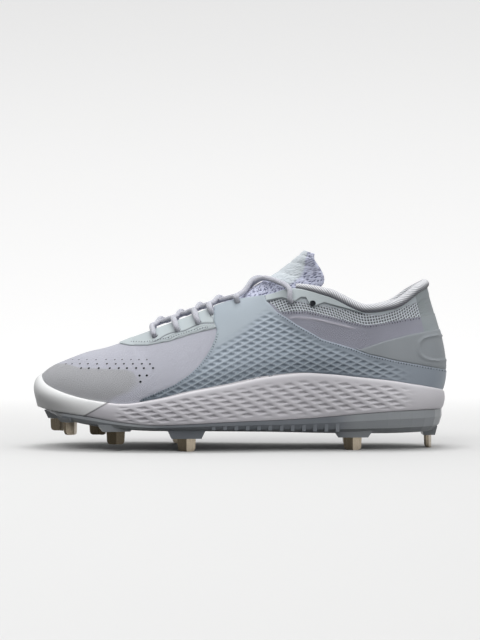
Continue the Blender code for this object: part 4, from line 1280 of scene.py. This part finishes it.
def stitch_row(name, outline, offset, lift, finish):
    """Short raised stitches along an outline of the photograph, on both sides."""
    outline = np.array(outline, float)
    step = np.linalg.norm(np.diff(outline, axis=0), axis=-1)
    run = np.concatenate([[0.0], np.cumsum(step)])
    points, faces = [], []
    for place in np.arange(STITCH_PITCH, run[-1] - STITCH_PITCH, STITCH_PITCH):
        ends = []
        for share in (place - STITCH_LENGTH / 2, place + STITCH_LENGTH / 2):
            across = np.interp(share, run, outline[:, 0]) + offset[0]
            down = np.interp(share, run, outline[:, 1]) + offset[1]
            ends.append(find_photo(across, down))
        for mirror in (False, True):
            pair = [(TURN - at if mirror else at, up) for at, up in ends]
            low = [last_surface(at, up, lift) for at, up in pair]
            high = last_surface(pair[0][0], pair[0][1], 1.0) - last_surface(*pair[0])
            heading = low[1] - low[0]
            size = np.linalg.norm(heading)
            if size < 1e-5:
                continue
            side = np.cross(high, heading / size) * STITCH_WIDTH / 2
            first = len(points)
            middle = (low[0] + low[1]) / 2 + high * STITCH_RISE
            points += [low[0], middle - side, low[1], middle + side, middle + high * STITCH_CREST]
            faces += [(first, first + 1, first + 4), (first + 1, first + 2, first + 4),
                      (first + 2, first + 3, first + 4), (first + 3, first, first + 4)]
    return mesh_piece(name, points, faces, finish, angle=180)


def build_stitches(dark):
    lift = OVERLAY + STITCH_LIFT
    stitch_row("wrap_stitches", WRAP_FRONT[:9], (2.4, 0.6), lift, dark)
    stitch_row("eyestay_stitches", EYESTAY_LOW[2:7], (0.0, -1.2), lift, dark)
    stitch_row("rear_stitches", WRAP_REAR[2:], (-0.6, 1.8), lift, dark)
    stitch_row("net_stitches", NET_LOW[2:10], (0.0, 1.4), STITCH_LIFT, dark)


# Sole


def toe_share(at):
    """1 at the toe, easing to 0 where the bumper ends on either side."""
    return ease(ring_distance(at), 3.2, 0.8)


def sole_reach(at):
    """How far the sole's lower edge stands out from the last's foot."""
    return SOLE_REACH - TOE_TUCK * toe_share(at)


def side_rings(at, rows):
    """Points of the sole's sidewall, lip first, with its outward directions."""
    top = edge_share(at)
    out = np.stack([*outward(at), np.zeros_like(at)], -1)
    foot = last_place(at, np.zeros_like(at))
    edge = last_surface(at, top, PANEL_ROOT)
    toe = toe_share(at)
    reach = np.sum((edge - foot) * out, axis=-1) + SIDEWALL_LIP
    base = track("plate", at)
    rings = [edge, edge + out * SIDEWALL_LIP * 0.55 + np.array([0.0, 0.0, 0.00035])]
    for share in np.linspace(0.0, 1.0, rows):
        wide = reach * (1.0 - share) + sole_reach(at) * share
        wide = wide + SIDEWALL_BULGE * 4.0 * share * (1.0 - share)
        wide = wide + TOE_BULGE * toe * 6.75 * share * (1.0 - share) ** 2
        round_edge = 0.0009 * np.exp(-share / 0.03) + 0.0003 * np.exp(-(1.0 - share) / 0.03)
        ring = foot + out * (wide - round_edge)[:, None]
        ring[:, 2] = edge[:, 2] * (1.0 - share) + base * share
        rings.append(ring)
    return np.stack(rings, axis=1), out


def sidewall_dents(points, share):
    """Slanted dents of the foam's sidewall, smooth near its edges and at the heel."""
    across, down = photo_place(points)
    dent, upper = lattice(across, down, FOAM_RIDGES)
    inside = ease(share, 0.13, 0.26) * (1.0 - ease(share, 0.84, 0.95))
    along = ease(across, 112.0, 128.0) * (1.0 - ease(across, 385.0, 418.0))
    depth = ease(dent, 0.22, 0.75) * inside * along
    return depth, depth * upper


def build_sole(foam, rubber):
    """Midsole with dented sidewall, and the toe bumper in front of its seam."""
    at = np.arange(0.0, TURN, 1.0 / 30.0)
    rows = 44
    points, out = side_rings(at, rows)
    share = np.concatenate([[0.0, 0.0], np.linspace(0.0, 1.0, rows)])
    depth, shade = sidewall_dents(points, np.broadcast_to(share, points.shape[:2]))
    dented = points - out[:, None, :] * (DENT_DEPTH * depth)[..., None]
    under = points[:, -1].copy()
    under -= out * SOLE_TURN_IN
    under[:, 2] += 0.001
    dented = np.concatenate([dented, under[:, None]], axis=1)
    seam = SEAM_FOOT + dented[..., 2] * SEAM_SLOPE
    behind = dented[..., 0] - seam
    # lip: share of the painted highlight along the sidewall's top edge
    lip = np.exp(-(np.concatenate([share, [1.0]]) / 0.06) ** 2)
    values = {
        "shade": np.concatenate([shade, np.zeros((len(at), 1))], axis=1),
        "lip": np.broadcast_to(lip, behind.shape),
        "seam": np.exp(-(behind / 0.0008) ** 2),
    }
    faces = grid_faces(*dented.shape[:2], closed=True)
    side = behind.ravel()
    for name, finish, keep, node in (("midsole_foam", foam, 1.0, "midsole"),
                                     ("toe_bumper_rubber", rubber, -1.0, "toe_bumper")):
        flat = dented.reshape(-1, 3).copy()
        kept = []
        pulled = set()
        for face in faces:
            outside = [corner for corner in face if keep * side[corner] <= 0]
            if len(outside) < len(face):
                kept.append(face)
                pulled.update(outside)
        for corner in pulled:
            flat[corner, 0] -= side[corner] - keep * SEAM_GAP
        piece = mesh_piece(name, flat, kept, finish, values)
        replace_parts(piece, node)


def build_footbed(finish):
    """Sock liner, slightly dished, with a soft edge."""
    at = np.arange(0.0, TURN, 1.0 / 6.0)
    foot = last_place(at, np.zeros_like(at))
    out = np.stack([*outward(at), np.zeros_like(at)], -1)
    rim = foot - out * (UPPER_WALL + 0.0009)
    spine = rim.copy()
    spine[:, 1] = np.interp(spine[:, 0], (-0.14, 0.14), (0.006, CENTRE_Y))
    rings = []
    for share, height in ((0.0, 0.0), (0.0, 0.7), (0.03, 0.95), (0.08, 1.0), (0.25, 0.85),
                          (0.5, 0.72), (0.75, 0.66), (0.97, 0.64)):
        ring = rim * (1.0 - share) + spine * share
        ring[:, 2] = foot[:, 2] + INSOLE_THICKNESS * height
        rings.append(ring)
    points = np.stack(rings, axis=1)
    faces = grid_faces(*points.shape[:2], closed=True)
    liner = mesh_piece("insole_liner", points, faces, finish, stretch=surface_lengths(points))
    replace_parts(liner, "insole")


# Plate and spikes


def paint_node(name, finish):
    """Gives a node of the frame, which keeps its own mesh, a new material."""
    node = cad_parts[name]
    node.data.materials.clear()
    node.data.materials.append(finish)
    return node


def finish_spikes(steel):
    for name in SPIKES:
        soften = paint_node(name, steel).modifiers.new("Soften", "BEVEL")
        soften.width = SPIKE_EDGE
        soften.segments = 2
        soften.limit_method = "ANGLE"


# Stage


FLOOR_GLOW = 0.42          # light of its own that the floor gains behind the shoe
WALL_FADE = 0.02           # and loses again up the wall


def build_stage():
    """A pale floor that curves up behind the shoe."""
    profile = [(-2.0, 0.0), (0.5, 0.0)]
    for turn in np.linspace(0.0, math.pi / 2, 24):
        profile.append((1.2 + 1.2 * math.sin(turn), 1.2 - 1.2 * math.cos(turn)))
    profile.append((2.4, 4.0))
    points, faces = [], []
    for y, z in profile:
        points += [(-4.0, y, z), (4.0, y, z)]
    for place in range(len(profile) - 1):
        here = 2 * place
        faces.append((here, here + 1, here + 3, here + 2))
    mesh = bpy.data.meshes.new("floor")
    mesh.from_pydata(points, [], faces)
    mesh.shade_smooth()
    finish = Finish("floor_paper", roughness=0.9, specular=0.1)
    finish.colour(finish.mix(finish.noise(finish.place(), 3.0, 2.0), (0.66, 0.66, 0.66, 1.0),
                             (0.67, 0.67, 0.665, 1.0)))
    where = finish.place()
    glow = finish.times(finish.ramp(finish.axis(where, "Y"), 0.05, 1.1), FLOOR_GLOW)
    fade = finish.times(finish.ramp(finish.axis(where, "Z"), 0.4, 0.8), WALL_FADE)
    finish.put(finish.shader.inputs["Emission Strength"], finish.sums("SUBTRACT", glow, fade))
    finish.shader.inputs["Emission Color"].default_value = (1.0, 1.0, 1.0, 1.0)
    mesh.materials.append(finish.made)
    floor = bpy.data.objects.new("floor", mesh)
    floor.visible_diffuse = False
    bpy.context.scene.collection.objects.link(floor)


def area_light(name, place, aim, size, power):
    lamp = bpy.data.lights.new(name, "AREA")
    lamp.shape = "RECTANGLE"
    lamp.size, lamp.size_y = size
    lamp.energy = power
    light = bpy.data.objects.new(name, lamp)
    light.location = place
    light.rotation_euler = (Vector(aim) - Vector(place)).to_track_quat("-Z", "Y").to_euler()
    bpy.context.scene.collection.objects.link(light)


SKY_ABOVE = 0.80           # strength of the studio's dome high up
SKY_BELOW = 0.05           # and at the floor, where the shoe's own shadow lies
CARD_DARK = -0.80          # share of the light that the dark card takes away
CARD_BRIGHT = 0.90         # and that the bright card adds
CARDS = (((-0.72, -0.66, 0.10), CARD_DARK), ((0.72, -0.66, 0.10), CARD_BRIGHT))


def build_light():
    """A dome that darkens towards the floor, a dark card on the toe's side and a
    bright one on the heel's, and two soft boxes."""
    world = bpy.data.worlds.new("studio")
    world.use_nodes = True
    dome = Nodes(world.node_tree)
    sky = dome.tree.nodes["Background"].inputs
    sky["Color"].default_value = (1.0, 1.0, 1.0, 1.0)
    direction = dome.node("ShaderNodeTexCoord").outputs["Generated"]
    strength = dome.ramp(dome.axis(direction, "Z"), 0.0, 0.40, SKY_BELOW, SKY_ABOVE)
    for facing, change in CARDS:
        toward = dome.node("ShaderNodeVectorMath", operation="DOT_PRODUCT")
        dome.put(toward.inputs[0], direction)
        dome.put(toward.inputs[1], facing)
        card = dome.ramp(toward.outputs["Value"], 0.78, 0.92, 0.0, change)
        strength = dome.sums("ADD", strength, card)
    dome.put(sky["Strength"], dome.sums("MAXIMUM", strength, 0.0))
    bpy.context.scene.world = world
    bpy.context.scene.view_settings.view_transform = "Standard"
    area_light("overhead", (-0.02, 0.06, 1.3), (0.0, 0.0, 0.0), (0.6, 0.36), 6.0)
    area_light("front_fill", (-0.5, -1.1, 1.3), (0.0, 0.0, 0.06), (1.2, 0.8), 9.5)


def build_camera():
    lens = bpy.data.cameras.new("camera")
    lens.sensor_fit = "VERTICAL"
    lens.sensor_height = 36.0
    lens.lens = 36.0 * CAMERA_DISTANCE / VIEW_HEIGHT
    lens.clip_start = 0.05
    camera = bpy.data.objects.new("camera", lens)
    camera.location = (CAMERA_X, -CAMERA_DISTANCE, CAMERA_HEIGHT)
    camera.rotation_euler = (math.radians(90.0), 0.0, 0.0)
    bpy.context.scene.collection.objects.link(camera)
    bpy.context.scene.camera = camera


def main():
    # Painted shade for the insides of the lace holes and breathing holes
    dark = plain_finish("hole_shade", tint(30, 32, 38), 0.9)
    thread = plain_finish("stitch_thread", tint(58, 62, 72), 0.8)
    stay = stay_finish()
    build_upper(upper_finish(), lining_finish())
    build_wrap(wrap_finish())
    build_counter(counter_finish())
    build_eyestay(stay)
    build_stays(stay)
    build_roll(knit_finish("collar_knit", tint(240, 241, 243), tint(176, 178, 185), 0.0014, 48.0,
                           round_cord=True))
    build_tongue(tongue_finish())
    build_laces(lace_finish())
    build_eyelet_rims(dark)
    build_pierced(dark)
    build_stitches(thread)
    build_sole(foam_finish(), rubber_finish())
    build_footbed(knit_finish("insole_cloth", tint(170, 174, 182), tint(120, 124, 134), 0.0015))
    paint_node("outsole_plate", plate_finish())
    finish_spikes(steel_finish())
    build_stage()
    build_light()
    build_camera()


main()
